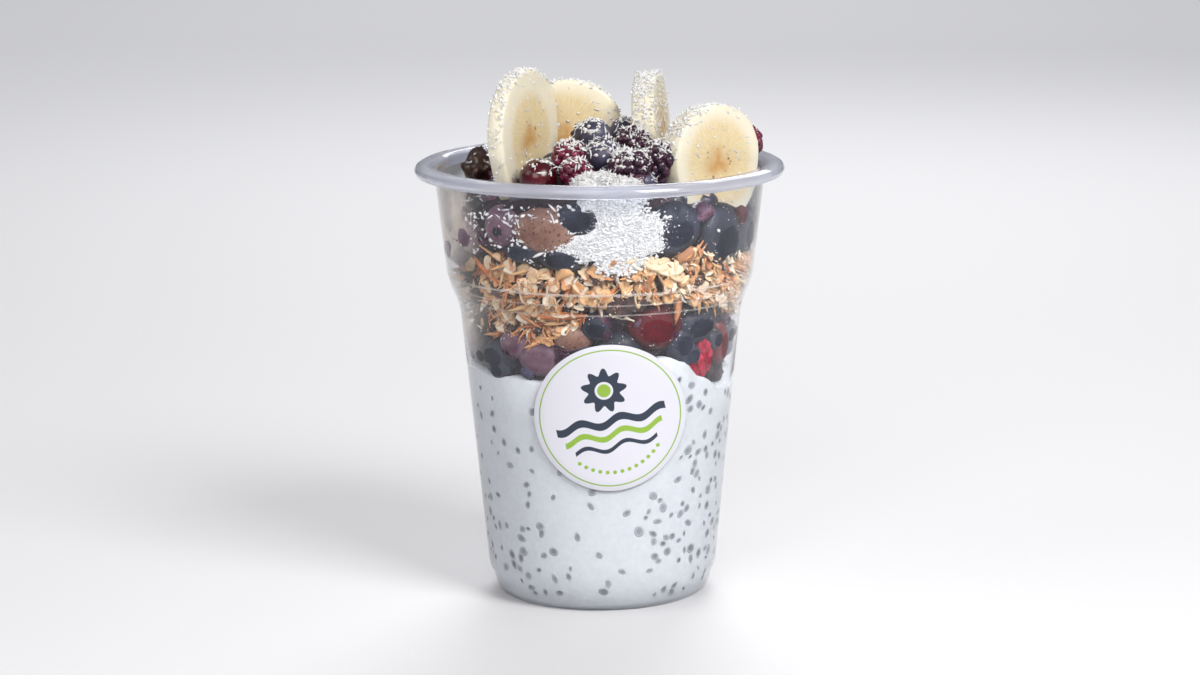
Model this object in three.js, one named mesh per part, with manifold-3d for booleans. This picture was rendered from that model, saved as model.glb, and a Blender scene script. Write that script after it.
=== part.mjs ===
// A clear plastic cup of yogurt with chia seeds, two layers of fruit with granola between them,
// and a heap of berries, banana slices and shredded coconut on top.
// Millimetres, +Z up, the origin in the middle of the cup's foot. The cup's front, with its label, faces -Y.

import * as THREE from "three";
import { mergeVertices } from "three/addons/utils/BufferGeometryUtils.js";
import Module from "manifold-3d";

const wasm = await Module();
wasm.setup();

// Cup: radius and height of the outside, from the foot, over the shoulder, to below the rim
const OUTSIDE = [
  [25.4, 0], [26.9, 0.6], [27.8, 2.2], [28.5, 5.0], [29.5, 6.9], [36.1, 73.7],
  [36.6, 76.3], [37.65, 78.9], [38.8, 81.6], [39.5, 84.2], [42.4, 109.5],
];
const WALL = 0.6;
const FLOOR = 1.2;
const RIM_TOP = 112.5;
const RIM_RADIUS = 47.5;
const SEGMENTS = 40;
const FOOD_SEGMENTS = 20;

// Gaps between what touches
const GAP = 0.3;
const LABEL_GAP = 0.15;

// Label: a round sticker on the front wall
const LABEL_RADIUS = 19.1;
const LABEL_CENTRE = [2.2, 52.2];
const LABEL_THICKNESS = 0.25;

// Heights of the layers' surfaces at the wall, by bearing: 0 is the front, +90 the right
const YOGURT_TOP = [
  [-180, 60], [-120, 62.5], [-75, 61], [-30, 61], [0, 63.5], [28, 67.3], [37, 65], [47, 60.5], [64, 56.5],
  [110, 59],
];
const GRANOLA_BASE = [
  [-180, 73], [-110, 71], [-75, 70], [-35, 69.5], [-14, 71.5], [0, 80.5], [22, 81.5], [50, 78], [90, 72],
  [135, 75],
];
const GRANOLA_TOP = [
  [-180, 91], [-120, 88], [-80, 89], [-50, 93], [-15, 91], [25, 94.5], [57, 94], [90, 90], [135, 93],
];
const MOUND_EDGE = [
  [-180, 104], [-150, 102], [-105, 97], [-75, 96], [-50, 104], [-25, 107], [0, 108], [18, 107],
  [32, 101.5], [48, 99.5], [75, 101], [105, 100], [150, 103],
];
const MOUND_TOP = 116;
const MOUND_RADIUS = 38;

// Radii at which the layers' and the mound's surfaces are worked out
const LAYER_RINGS = [0, 20, 34, 46];
const MOUND_RINGS = [0, 14, 26, 35, 46];

// Depth of each heap's core behind the wall; the pieces that show are fused on outside it
const FRUIT_CORE_DEPTH = 3.4;
const GRANOLA_CORE_DEPTH = 1.9;

const SEED = 7;
const radians = THREE.MathUtils.degToRad;

const COLOURS = {
  clear_plastic: { color: 0xdfe4ea, roughness: 0.12, metalness: 0, transparent: true, opacity: 0.3 },
  label_paper: { color: 0xe8e8f4, roughness: 0.4, metalness: 0 },
  yogurt: { color: 0xdee4eb, roughness: 0.45, metalness: 0 },
  dark_fruit: { color: 0x3c3646, roughness: 0.4, metalness: 0 },
  granola: { color: 0xd9ae78, roughness: 0.8, metalness: 0 },
  banana: { color: 0xeedfae, roughness: 0.5, metalness: 0 },
  coconut: { color: 0xf3f2ee, roughness: 0.8, metalness: 0 },
  red_fruit: { color: 0x8e1532, roughness: 0.35, metalness: 0 },
  dried_fruit: { color: 0x3a1d14, roughness: 0.3, metalness: 0 },
};

// Draws numbers between two limits, in the same run every time
function drawFrom(seed) {
  let state = seed;
  return function between(low, high) {
    state = (state + 0x6d2b79f5) | 0;
    let t = Math.imul(state ^ (state >>> 15), 1 | state);
    t = (t + Math.imul(t ^ (t >>> 7), 61 | t)) ^ t;
    return low + ((high - low) * ((t ^ (t >>> 14)) >>> 0)) / 4294967296;
  };
}

// Solids for joining and cutting: corners that coincide are merged, collapsed faces dropped
function solidFrom(geometry) {
  const bare = new THREE.BufferGeometry();
  bare.setAttribute("position", geometry.getAttribute("position"));
  bare.setIndex(geometry.index);
  const merged = mergeVertices(bare, 1e-4);
  const corners = merged.index.array;
  const kept = [];
  for (let i = 0; i < corners.length; i += 3) {
    const [a, b, c] = [corners[i], corners[i + 1], corners[i + 2]];
    if (a !== b && b !== c && c !== a) kept.push(a, b, c);
  }
  return new wasm.Manifold(new wasm.Mesh({
    numProp: 3,
    vertProperties: new Float32Array(merged.getAttribute("position").array),
    triVerts: new Uint32Array(kept),
  }));
}

function joined(solids) {
  return solids.reduce((whole, piece) => whole.add(piece));
}

function cutBy(solid, cutters) {
  return cutters.reduce((rest, cutter) => rest.subtract(cutter), solid);
}

// Loose scraps and sealed hollows are dropped: the largest body stays
function largestBody(solid) {
  const bodies = solid.decompose();
  return bodies.reduce((best, body) => (body.volume() > best.volume() ? body : best));
}

// A turned body whose outline, from the axis out and back to it, may change with the bearing
function turnedBody(outlineAt, segments = SEGMENTS) {
  const points = [];
  const faces = [];
  const count = outlineAt(0).length;
  for (let i = 0; i < segments; i += 1) {
    const bearing = (360 * i) / segments;
    for (const [radius, height] of outlineAt(bearing)) {
      points.push(radius * Math.sin(radians(bearing)), -radius * Math.cos(radians(bearing)), height);
    }
  }
  for (let i = 0; i < segments; i += 1) {
    const here = i * count;
    const there = ((i + 1) % segments) * count;
    for (let j = 0; j < count - 1; j += 1) {
      faces.push(here + j, there + j, there + j + 1, here + j, there + j + 1, here + j + 1);
    }
  }
  const geometry = new THREE.BufferGeometry();
  geometry.setAttribute("position", new THREE.Float32BufferAttribute(points, 3));
  geometry.setIndex(faces);
  return geometry;
}

// Radius of the cup's inside at a height
function insideRadius(height) {
  const next = OUTSIDE.findIndex(([, z]) => z >= height);
  if (next < 1) return (next === 0 ? OUTSIDE[0][0] : OUTSIDE[OUTSIDE.length - 1][0]) - WALL;
  const [[r0, z0], [r1, z1]] = [OUTSIDE[next - 1], OUTSIDE[next]];
  return r0 + ((r1 - r0) * (height - z0)) / (z1 - z0) - WALL;
}

// Height at a bearing, eased between the named heights round the wall
function heightRound(named, bearing) {
  const turned = ((((bearing + 180) % 360) + 360) % 360) - 180;
  const all = [...named, [180, named[0][1]]];
  const next = Math.max(1, all.findIndex(([at]) => at >= turned));
  const [[b0, h0], [b1, h1]] = [all[next - 1], all[next]];
  return THREE.MathUtils.lerp(h0, h1, THREE.MathUtils.smoothstep(turned, b0, b1));
}

// The space inside the cup, kept back from its wall by a depth, and open upwards over the rim
function cavity(depth, segments = SEGMENTS) {
  const wall = OUTSIDE.slice(2).map(([radius, height]) => [radius - WALL - depth, height]);
  const lip = [
    [wall[wall.length - 1][0], RIM_TOP - 1],
    [RIM_RADIUS - 4.5, RIM_TOP + GAP],
    [RIM_RADIUS, RIM_TOP + GAP + 0.2],
    [RIM_RADIUS, RIM_TOP + 40],
    [0, RIM_TOP + 40],
  ];
  const outline = [[0, FLOOR + GAP], [wall[0][0] - 1.2, FLOOR + GAP], ...wall, ...lip];
  return solidFrom(turnedBody(() => outline, segments));
}

// Cup: a thin wall with a stepped foot, an S-shaped shoulder and a rim rolled outwards
function cupSolid() {
  const inside = OUTSIDE.slice(2).map(([radius, height]) => [radius - WALL, height]).reverse();
  const rim = [
    [43.4, 111.2], [45.4, 111.5], [46.5, 110.7], [45.7, 109.9], [45.9, 109.1], [47.0, 109.5],
    [RIM_RADIUS, 110.6], [47.0, 111.7], [45.4, RIM_TOP], [43.0, RIM_TOP - 0.2], [41.9, RIM_TOP - 1.2],
  ];
  const outline = [[0, 0], ...OUTSIDE, ...rim, ...inside, [26.0, FLOOR], [0, FLOOR]];
  return solidFrom(turnedBody(() => outline));
}

// Label: a thin skin outside the wall, trimmed to a circle as seen from the front
function labelSolid() {
  const [across, up] = LABEL_CENTRE;
  const skin = (out, extra) => {
    const low = up - LABEL_RADIUS - extra;
    const high = up + LABEL_RADIUS + extra;
    const radiusAt = (height) => insideRadius(height) + WALL + out;
    return solidFrom(turnedBody(() => [[0, low], [radiusAt(low), low], [radiusAt(high), high], [0, high]]));
  };
  const round = new THREE.CylinderGeometry(LABEL_RADIUS, LABEL_RADIUS, 60, 48);
  round.translate(across, -30, up);
  return skin(LABEL_GAP + LABEL_THICKNESS, 1).subtract(skin(LABEL_GAP, 2)).intersect(solidFrom(round));
}

// Surfaces between the layers: eased from the middle's height to the named heights at the wall
function uneven(named, middle, wave) {
  return (bearing, radius) => {
    const outward = THREE.MathUtils.smoothstep(radius, 0, 35);
    const angle = radians(bearing);
    const ripple = wave * (Math.sin(9 * angle + 1) + 0.6 * Math.sin(14 * angle + middle));
    return THREE.MathUtils.lerp(middle, heightRound(named, bearing), outward) + ripple * outward;
  };
}

const yogurtTop = uneven(YOGURT_TOP, 62, 0.25);
const granolaBase = uneven(GRANOLA_BASE, 75, 0.6);
const granolaTop = uneven(GRANOLA_TOP, 93, 0.7);

function moundTop(bearing, radius) {
  const edge = heightRound(MOUND_EDGE, bearing);
  const rise = Math.max(0, 1 - (radius / MOUND_RADIUS) ** 3);
  return edge + (MOUND_TOP - edge) * rise;
}

// All that lies between two surfaces, out past the cup's wall
function bodyBetween(lower, upper, grown = 0, upperRings = LAYER_RINGS) {
  const back = GAP / 2 - grown;
  return solidFrom(turnedBody((bearing) => [
    ...LAYER_RINGS.map((radius) => [radius, lower(bearing, radius) + back]),
    ...upperRings.toReversed().map((radius) => [radius, upper(bearing, radius) - back]),
  ], FOOD_SEGMENTS));
}

// A heap's core, kept behind the pieces that show at the wall
function core(lower, upper, depth, grown = 0, upperRings = LAYER_RINGS) {
  return bodyBetween(lower, upper, grown, upperRings).intersect(cavity(depth - grown, FOOD_SEGMENTS));
}

// An ellipsoid with few sides; a bramble's or raspberry's drupelets are bumps that take turns
function berryForm([rx, ry, rz], form, grown = 0) {
  const [around, down] = form === "bramble" ? [8, 6] : [7, 4];
  const geometry = new THREE.SphereGeometry(1, around, down);
  const place = geometry.getAttribute("position");
  if (form === "bramble" && grown === 0) {
    for (let i = 0; i < place.count; i += 1) {
      const [column, row] = [i % (around + 1), Math.floor(i / (around + 1))];
      const inner = row > 0 && row < down && ((column % around) + row) % 2 === 1;
      const size = inner ? 0.86 : 1;
      place.setXYZ(i, place.getX(i) * size, place.getY(i) * size, place.getZ(i) * size);
    }
  }
  geometry.scale(rx + grown, ry + grown, rz + grown);
  return geometry;
}

// A shred of coconut: a short flat strip, centred where it lies
function shredForm(length, grown = 0) {
  return new THREE.BoxGeometry(length + grown, 0.9 + grown, 0.5 + grown);
}

// Moves a geometry to a place, after turning it by angles in degrees about X, Y, then Z
function placed(geometry, [x, y, z], [turnX, turnY, turnZ] = [0, 0, 0]) {
  geometry.rotateX(radians(turnX));
  geometry.rotateY(radians(turnY));
  geometry.rotateZ(radians(turnZ));
  geometry.translate(x, y, z);
  return geometry;
}

// A place at a bearing and a height, some way in from the cup's inside
function atWall(bearing, height, inwards) {
  const radius = insideRadius(height) - GAP - inwards;
  return [radius * Math.sin(radians(bearing)), -radius * Math.cos(radians(bearing)), height];
}

// A whole fruit pressed to the wall
function fruitAtWall(bearing, height, [across, deep, up], lean, grown) {
  const geometry = new THREE.SphereGeometry(1, 6, 4);
  geometry.scale(across + grown, deep + grown, up + grown);
  geometry.rotateY(radians(lean));
  return solidFrom(placed(geometry, atWall(bearing, height, deep + 0.1), [0, 0, bearing]));
}

// Granola: an oat flake, a nut or a seed lying more or less flat to the wall
function granolaPiece(bearing, height, [across, up, deep], lean, tilt) {
  const geometry = new THREE.SphereGeometry(1, 5, 3);
  geometry.rotateX(radians(90));
  geometry.scale(across, up, deep);
  placed(geometry, [0, 0, 0], [tilt, 0, lean]);
  return solidFrom(placed(geometry, atWall(bearing, height, 1.5), [90, 0, bearing]));
}

// Fruit of the lower layer that shows at the front: bearing, height, sizes across, deep and up
const LOWER_FRONT = [
  [-52, 66, [6.2, 5, 5.0]], [-27, 67, [7.0, 5, 5.6]], [-7, 76.5, [4.6, 4, 4.4]], [1, 77, [2.4, 2.2, 4.2]],
  [21, 74.5, [6.6, 5, 5.9]], [7, 69, [6.4, 5, 5.2]], [46, 74, [7.4, 5, 5.4]], [50, 65.5, [4.8, 4, 6.6]],
  [64, 68, [3.4, 3, 6.6]],
];

// Fruit of the upper layer that shows at the front
const UPPER_FRONT = [
  [-75, 92, [5.6, 5, 4.4]], [-58, 96.5, [5.0, 4.5, 4.8]], [-37.5, 100.3, [3.9, 4, 5.0]],
  [-20, 99.8, [8.6, 5, 6.4]], [-5.5, 103.4, [4.6, 4.4, 4.4]], [21, 99.8, [7.2, 5, 7.2]],
  [50, 94.6, [5.0, 4.6, 4.8]], [66, 97, [5.0, 4.4, 5.0]],
];
const FRONT_HALF = 78;

// The rest of a layer's fruit, round the sides and the back
function fruitRound(count, heightAt, [low, high], grown = 0) {
  const between = drawFrom(SEED + count);
  const fruit = [];
  for (let i = 0; i < count; i += 1) {
    const bearing = FRONT_HALF + ((360 - 2 * FRONT_HALF) * (i + 0.5)) / count + between(-2, 2);
    const size = between(low, high);
    const sizes = [size, size * 0.85, size * between(0.8, 1)];
    fruit.push(fruitAtWall(bearing, heightAt(bearing), sizes, between(-30, 30), grown));
  }
  return fruit;
}

function fruitShown(named, grown = 0) {
  const between = drawFrom(SEED + named.length);
  return named.map(([bearing, height, sizes]) => (
    fruitAtWall(bearing, height, sizes, between(-12, 12), grown)
  ));
}

// Granola all round the wall, in staggered rows, the largest flakes in the first rows
function granolaShown() {
  const between = drawFrom(SEED);
  const pieces = [];
  const rows = [[0.22, 14], [0.52, 14], [0.8, 14]];
  rows.forEach(([share, count], row) => {
    for (let i = 0; i < count; i += 1) {
      const bearing = (360 * (i + 0.5 * (row % 2))) / count + between(-5, 5);
      const low = granolaBase(bearing, 36);
      const height = THREE.MathUtils.lerp(low, granolaTop(bearing, 38), share) + between(-1, 1);
      const nut = between(0, 1) < 0.2;
      const sizes = nut
        ? [between(1.8, 2.4), between(2.6, 3.4), 1.6]
        : [between(2.4, 3.1), between(3.2, 4.3), 0.75];
      pieces.push(granolaPiece(bearing, height, sizes, between(0, 180), between(-18, 18)));
    }
  });
  return pieces;
}

// Coconut spilt down the inside of the front wall: bearing, height, depth behind the wall, sizes
const SPILL_LUMPS = [
  [5, 99.5, 3.0, [11.5, 4, 6.5]], [-9, 96.5, 2.4, [6.5, 3.4, 4.4]], [16, 99.5, 2.8, [7.5, 4, 5.5]],
  [3, 105.5, 3.8, [8.0, 5, 5.5]], [-1, 110.5, 7.0, [6.4, 5, 3.8]], [7, 92.8, 2.4, [6.0, 3.2, 3.8]],
  [9, 109.5, 6.2, [5.6, 5, 3.4]],
];
const SPILL_SHREDS = 9;

function spillSolid(grown) {
  return joined(SPILL_LUMPS.map(([bearing, height, depth, [across, deep, up]]) => {
    const geometry = new THREE.SphereGeometry(1, 7, 4);
    geometry.scale(across + grown, deep + grown, up + grown);
    return solidFrom(placed(geometry, atWall(bearing, height, depth), [0, 0, bearing]));
  }));
}

// Loose shreds on top of the spill, each sunk a little into the lump below it
function spillShreds() {
  const between = drawFrom(SEED + 1);
  const shreds = [];
  for (let i = 0; i < SPILL_SHREDS; i += 1) {
    const [bearing, height, depth, [across, deep, up]] = SPILL_LUMPS[[3, 4, 6][i % 3]];
    const [x, y, z] = atWall(bearing, height, depth);
    const angle = radians(between(180, 360));
    const out = between(0, 0.75);
    const place = [
      x + across * out * Math.cos(angle),
      y + deep * out * Math.sin(angle),
      z + up * Math.sqrt(1 - out * out) + 0.1,
    ];
    const turns = [between(-20, 20), between(-20, 20), between(0, 360)];
    shreds.push(solidFrom(placed(shredForm(4.2), place, turns)));
  }
  return shreds;
}

// A shred as it lies, and grown by the gap that it keeps to others
function shredPair(make) {
  return { exact: make(0), clear: make(GAP * 2) };
}

// Banana slices: middle of the shown face, radius, thickness, turn to the right and lean, in degrees
const BANANAS = {
  banana_left: { face: [-17.1, -15, 120.6], radius: 17.2, thickness: 4.3, turn: 66, lean: 2, shreds: 3 },
  banana_behind: { face: [-8.3, 2.6, 118.6], radius: 14.5, thickness: 4.6, turn: 6, lean: 6, shreds: 2 },
  banana_middle: { face: [16.5, 6, 120.4], radius: 14.2, thickness: 6.0, turn: 81, lean: 5, shreds: 5 },
  banana_right: { face: [30.2, -15.2, 113.9], radius: 14.6, thickness: 6.8, turn: 42, lean: 3, shreds: 2 },
};
const SLICE_SIDES = 16;
const SLICE_EDGE = 1;

function sliceForm(radius, thickness, grown) {
  const outlineAt = (bearing) => {
    const angle = radians(bearing);
    const lobed = (radius + grown) * (1 + 0.025 * Math.cos(3 * angle) + 0.02 * Math.cos(2 * angle + 1));
    const half = thickness / 2 + grown;
    return [
      [0, -half], [lobed - SLICE_EDGE, -half], [lobed, -half + SLICE_EDGE],
      [lobed, half - SLICE_EDGE], [lobed - SLICE_EDGE, half], [0, half],
    ];
  };
  return turnedBody(outlineAt, SLICE_SIDES);
}

function bananaTopping(name, { face, radius, thickness, turn, lean, shreds }, seed) {
  const facing = new THREE.Vector3(
    Math.sin(radians(turn)) * Math.cos(radians(lean)),
    -Math.cos(radians(turn)) * Math.cos(radians(lean)),
    Math.sin(radians(lean)),
  );
  const middle = new THREE.Vector3(...face).addScaledVector(facing, -thickness / 2).toArray();
  const stand = (geometry) => solidFrom(placed(geometry, middle, [90 - lean, 0, turn]));
  const between = drawFrom(SEED + seed);
  const strips = [];
  for (let i = 0; i < shreds; i += 1) {
    const angle = between(25, 155);
    const onEdge = i % 2 === 0;
    const out = onEdge ? radius - 0.1 : radius * between(0.55, 0.85);
    const level = onEdge ? thickness * between(-0.25, 0.25) : thickness / 2 + 0.1;
    const place = [out * Math.cos(radians(angle)), out * Math.sin(radians(angle)), level];
    const turns = onEdge ? [90, 0, angle + 90] : [0, 0, between(0, 360)];
    strips.push(shredPair((grown) => stand(placed(shredForm(4, grown), place, turns))));
  }
  return {
    name,
    colour: "banana",
    base: stand(sliceForm(radius, thickness, 0)),
    clear: stand(sliceForm(radius, thickness, GAP)),
    shreds: strips,
  };
}

// Berries and dried fruit on the heap: middle, radii, form, colour, shreds of coconut on each
const BERRIES = {
  fig_left: [[-30.4, 3.4, 109.6], [4.4, 5.2, 5.2], "smooth", "dried_fruit", 0],
  cherry_front: [[-15.3, -28.0, 112.3], [4.8, 4.6, 4.4], "smooth", "red_fruit", 1],
  raspberry_front: [[-5.9, -28.6, 113.2], [4.6, 4.4, 4.2], "bramble", "red_fruit", 1],
  raspberry_middle: [[-7.4, -19.6, 116.2], [5.0, 5.0, 4.6], "bramble", "red_fruit", 2],
  blueberry_middle: [[1.0, -20.2, 116.6], [4.6, 4.4, 4.4], "smooth", "dark_fruit", 1],
  bramble_front: [[7.6, -26.0, 114.4], [6.0, 5.6, 5.0], "bramble", "dark_fruit", 2],
  bramble_right: [[14.6, -20.6, 115.2], [5.4, 5.2, 5.4], "bramble", "dark_fruit", 2],
  bramble_middle: [[8.6, -11.0, 118.0], [5.0, 4.8, 5.2], "bramble", "dark_fruit", 1],
  blueberry_back: [[-1.6, -8.0, 119.4], [5.2, 4.8, 4.8], "smooth", "dark_fruit", 1],
  blueberry_top: [[6.6, 1.2, 119.2], [4.4, 4.2, 4.2], "smooth", "dark_fruit", 0],
  raspberry_right: [[37.8, 4.2, 116.2], [4.8, 4.8, 5.2], "bramble", "red_fruit", 0],
  cherry_right: [[30.2, 7.6, 112.2], [5.6, 5.4, 5.4], "smooth", "red_fruit", 0],
  blueberry_rear_left: [[-17.5, 16.0, 113.2], [5.6, 5.4, 5.2], "smooth", "dark_fruit", 0],
  bramble_rear: [[-3.0, 20.5, 113.8], [6.2, 5.8, 5.6], "bramble", "dark_fruit", 1],
  cherry_rear: [[10.8, 19.2, 113.6], [5.6, 5.6, 5.2], "smooth", "red_fruit", 0],
  raspberry_rear: [[-11.5, 27.5, 109.6], [4.8, 5.0, 4.8], "bramble", "red_fruit", 0],
  blueberry_rear: [[4.0, 30.5, 108.8], [5.0, 4.8, 4.8], "smooth", "dark_fruit", 0],
  blueberry_rear_right: [[22.5, 19.5, 111.0], [5.4, 5.2, 5.0], "smooth", "dark_fruit", 0],
};

function berryTopping(name, [place, radii, form, colour, shreds], seed) {
  const between = drawFrom(SEED + seed);
  const turns = [between(-15, 15), between(-15, 15), between(0, 360)];
  const strips = [];
  for (let i = 0; i < shreds; i += 1) {
    const [angle, rise] = [between(0, 360), between(45, 85)];
    const level = Math.cos(radians(rise));
    const spot = [
      place[0] + radii[0] * 0.98 * level * Math.cos(radians(angle)),
      place[1] + radii[1] * 0.98 * level * Math.sin(radians(angle)),
      place[2] + radii[2] * 0.98 * Math.sin(radians(rise)),
    ];
    const spin = between(0, 180);
    strips.push(shredPair((grown) => {
      const strip = placed(shredForm(3.6, grown), [0, 0, 0], [0, 0, spin]);
      return solidFrom(placed(strip, spot, [0, 90 - rise, angle]));
    }));
  }
  return {
    name,
    colour,
    base: solidFrom(placed(berryForm(radii, form), place, turns)),
    clear: solidFrom(placed(berryForm(radii, form, GAP), place, turns)),
    shreds: strips,
  };
}

// Whether a shred would touch anything else
function isClear(shred, others) {
  return others.every((other) => shred.clear.intersect(other).volume() < 1e-6);
}

// Each topping gives way to those before it and to the heap below, and loses shreds that would touch others
function finishedToppings(toppings, heap) {
  const laid = [];
  for (const topping of toppings) {
    const others = toppings.filter((other) => other !== topping).map((other) => other.clear);
    const before = [...laid.map((other) => other.clear), ...laid.flatMap((other) => other.shredsClear)];
    const below = topping.colour === "banana" ? [] : heap;
    const base = cutBy(topping.base, [...before, ...below]);
    const own = heap.map((part) => part.subtract(topping.clear));
    const shreds = topping.shreds.filter((shred) => isClear(shred, [...others, ...before, ...own]));
    laid.push({
      ...topping,
      shredsClear: shreds.map((shred) => shred.clear),
      solid: joined([base, ...shreds.map((shred) => shred.exact)]),
    });
  }
  return laid;
}

const cup = new THREE.Group();

function addMesh(name, solid, colour) {
  const { vertProperties, triVerts } = solid.getMesh();
  const geometry = new THREE.BufferGeometry();
  geometry.setAttribute("position", new THREE.BufferAttribute(vertProperties, 3));
  geometry.setIndex(new THREE.BufferAttribute(triVerts, 1));
  geometry.computeVertexNormals();
  const mesh = new THREE.Mesh(geometry, new THREE.MeshStandardMaterial(COLOURS[colour]));
  mesh.name = name;
  cup.add(mesh);
}

const inside = cavity(GAP);
const lowerSpace = bodyBetween(yogurtTop, granolaBase);
const granolaSpace = bodyBetween(granolaBase, granolaTop);
const upperSpace = bodyBetween(granolaTop, () => RIM_TOP + 38);

function upperCore(grown) {
  return core(granolaTop, moundTop, FRUIT_CORE_DEPTH, grown, MOUND_RINGS);
}

function upperPieces(grown) {
  return [
    ...fruitShown(UPPER_FRONT, grown),
    ...fruitRound(8, (bearing) => granolaTop(bearing, 38) + 5, [5.2, 6.4], grown),
    ...fruitRound(7, (bearing) => heightRound(MOUND_EDGE, bearing) - 2.4, [4.6, 5.6], grown),
  ];
}

const toppings = finishedToppings(
  [
    ...Object.entries(BANANAS).map(([name, slice], i) => bananaTopping(name, slice, 100 + i)),
    ...Object.entries(BERRIES).map(([name, berry], i) => berryTopping(name, berry, 200 + i)),
  ],
  [upperCore(GAP), ...upperPieces(GAP)],
);
const bananasClear = toppings.filter(({ colour }) => colour === "banana").map(({ clear }) => clear);
const spillClear = spillSolid(GAP);

addMesh("cup", cupSolid(), "clear_plastic");
addMesh("label", labelSolid(), "label_paper");
addMesh("yogurt", bodyBetween(() => -5, yogurtTop).intersect(inside), "yogurt");

const lowerMiddle = (bearing) => (yogurtTop(bearing, 36) + granolaBase(bearing, 36)) / 2;
const lowerFruit = joined([
  core(yogurtTop, granolaBase, FRUIT_CORE_DEPTH),
  joined([...fruitShown(LOWER_FRONT), ...fruitRound(11, lowerMiddle, [5.6, 6.8])]).intersect(lowerSpace),
]);
addMesh("lower_fruit", largestBody(lowerFruit.intersect(inside)), "dark_fruit");

const granola = joined([
  core(granolaBase, granolaTop, GRANOLA_CORE_DEPTH),
  joined(granolaShown()).intersect(granolaSpace).subtract(spillClear),
]);
addMesh("granola", largestBody(granola.intersect(inside)), "granola");

const upperFruit = joined([
  upperCore(0),
  joined(upperPieces(0)).intersect(upperSpace).subtract(spillClear),
]);
addMesh("upper_fruit", largestBody(cutBy(upperFruit.intersect(inside), bananasClear)), "dark_fruit");

const spill = joined([spillSolid(0), ...spillShreds()]).intersect(inside);
const besideSpill = [
  upperCore(GAP),
  core(granolaBase, granolaTop, GRANOLA_CORE_DEPTH, GAP),
  ...toppings.flatMap(({ clear, shredsClear }) => [clear, ...shredsClear]),
];
addMesh("coconut_spill", largestBody(cutBy(spill, besideSpill)), "coconut");
toppings.forEach(({ name, solid, colour }) => addMesh(name, largestBody(solid.intersect(inside)), colour));

export default cup;
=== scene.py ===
from math import cos, pi, radians, sin

import bpy
import numpy as np
from mathutils import Matrix, Vector, noise
from mathutils.bvhtree import BVHTree


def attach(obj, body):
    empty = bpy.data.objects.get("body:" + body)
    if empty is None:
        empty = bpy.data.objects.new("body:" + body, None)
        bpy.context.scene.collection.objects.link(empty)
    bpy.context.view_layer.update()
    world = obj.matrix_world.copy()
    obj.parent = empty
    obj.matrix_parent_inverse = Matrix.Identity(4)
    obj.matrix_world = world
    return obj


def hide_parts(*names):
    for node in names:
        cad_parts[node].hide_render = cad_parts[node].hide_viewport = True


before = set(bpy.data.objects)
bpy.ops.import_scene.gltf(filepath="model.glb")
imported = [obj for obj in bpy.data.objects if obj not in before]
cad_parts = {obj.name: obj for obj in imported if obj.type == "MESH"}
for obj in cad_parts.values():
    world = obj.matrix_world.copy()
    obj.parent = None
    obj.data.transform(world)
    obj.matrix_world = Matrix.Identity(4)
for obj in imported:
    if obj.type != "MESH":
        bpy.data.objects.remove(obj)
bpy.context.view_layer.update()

# The cup is one piece of thin clear plastic, drawn hot over a mould: a rounded foot with a small step, a
# straight tapered wall, an S-shaped shoulder so that cups nest without sticking, and a rim rolled outwards
# into a bead.
MM = 0.001
CUP_OUTSIDE = [
    (25.4, 0.0), (26.9, 0.6), (27.8, 2.2), (28.5, 5.0), (29.5, 6.9), (36.1, 73.7), (36.6, 76.3),
    (37.65, 78.9), (38.8, 81.6), (39.5, 84.2), (42.4, 109.5),
]
CUP_RIM = [
    (43.4, 111.2), (45.4, 111.5), (46.5, 110.7), (45.7, 109.9), (45.9, 109.1), (47.0, 109.5), (47.5, 110.6),
    (47.0, 111.7), (45.4, 112.5), (43.0, 112.3), (41.9, 111.3),
]
CUP_WALL = 0.6
CUP_FLOOR = 1.2
CUP_RINGS = [(8.6, 0.12), (10.0, 0.08)]
RING_SHAPE = [(-0.45, 0), (-0.25, 0.6), (0, 1), (0.25, 0.6), (0.45, 0)]


def rounded(outline, reach, steps=4):
    """The outline with every corner but the first and last eased over at most this reach."""
    points = [np.array(p, float) for p in outline]
    eased = [points[0]]
    for before, corner, after in zip(points, points[1:], points[2:]):
        start = corner + (before - corner) * min(0.45, reach / np.linalg.norm(before - corner))
        end = corner + (after - corner) * min(0.45, reach / np.linalg.norm(after - corner))
        for t in np.linspace(0, 1, steps):
            eased.append((1 - t) ** 2 * start + 2 * t * (1 - t) * corner + t**2 * end)
    return [tuple(p) for p in eased + [points[-1]]]


def ringed(outline):
    """The outline with the fine moulded rings round the wall's outside, each a low ridge."""
    turn = max(range(len(outline)), key=lambda j: outline[j][0])
    out, radii, heights = [], *zip(*outline[:turn])
    for j, point in enumerate(outline):
        out.append(point)
        for ring, rise in CUP_RINGS:
            if j + 1 < turn and point[1] < ring <= outline[j + 1][1]:
                for off, share in RING_SHAPE:
                    out.append((float(np.interp(ring + off, heights, radii)) + rise * share, ring + off))
    return out


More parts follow.
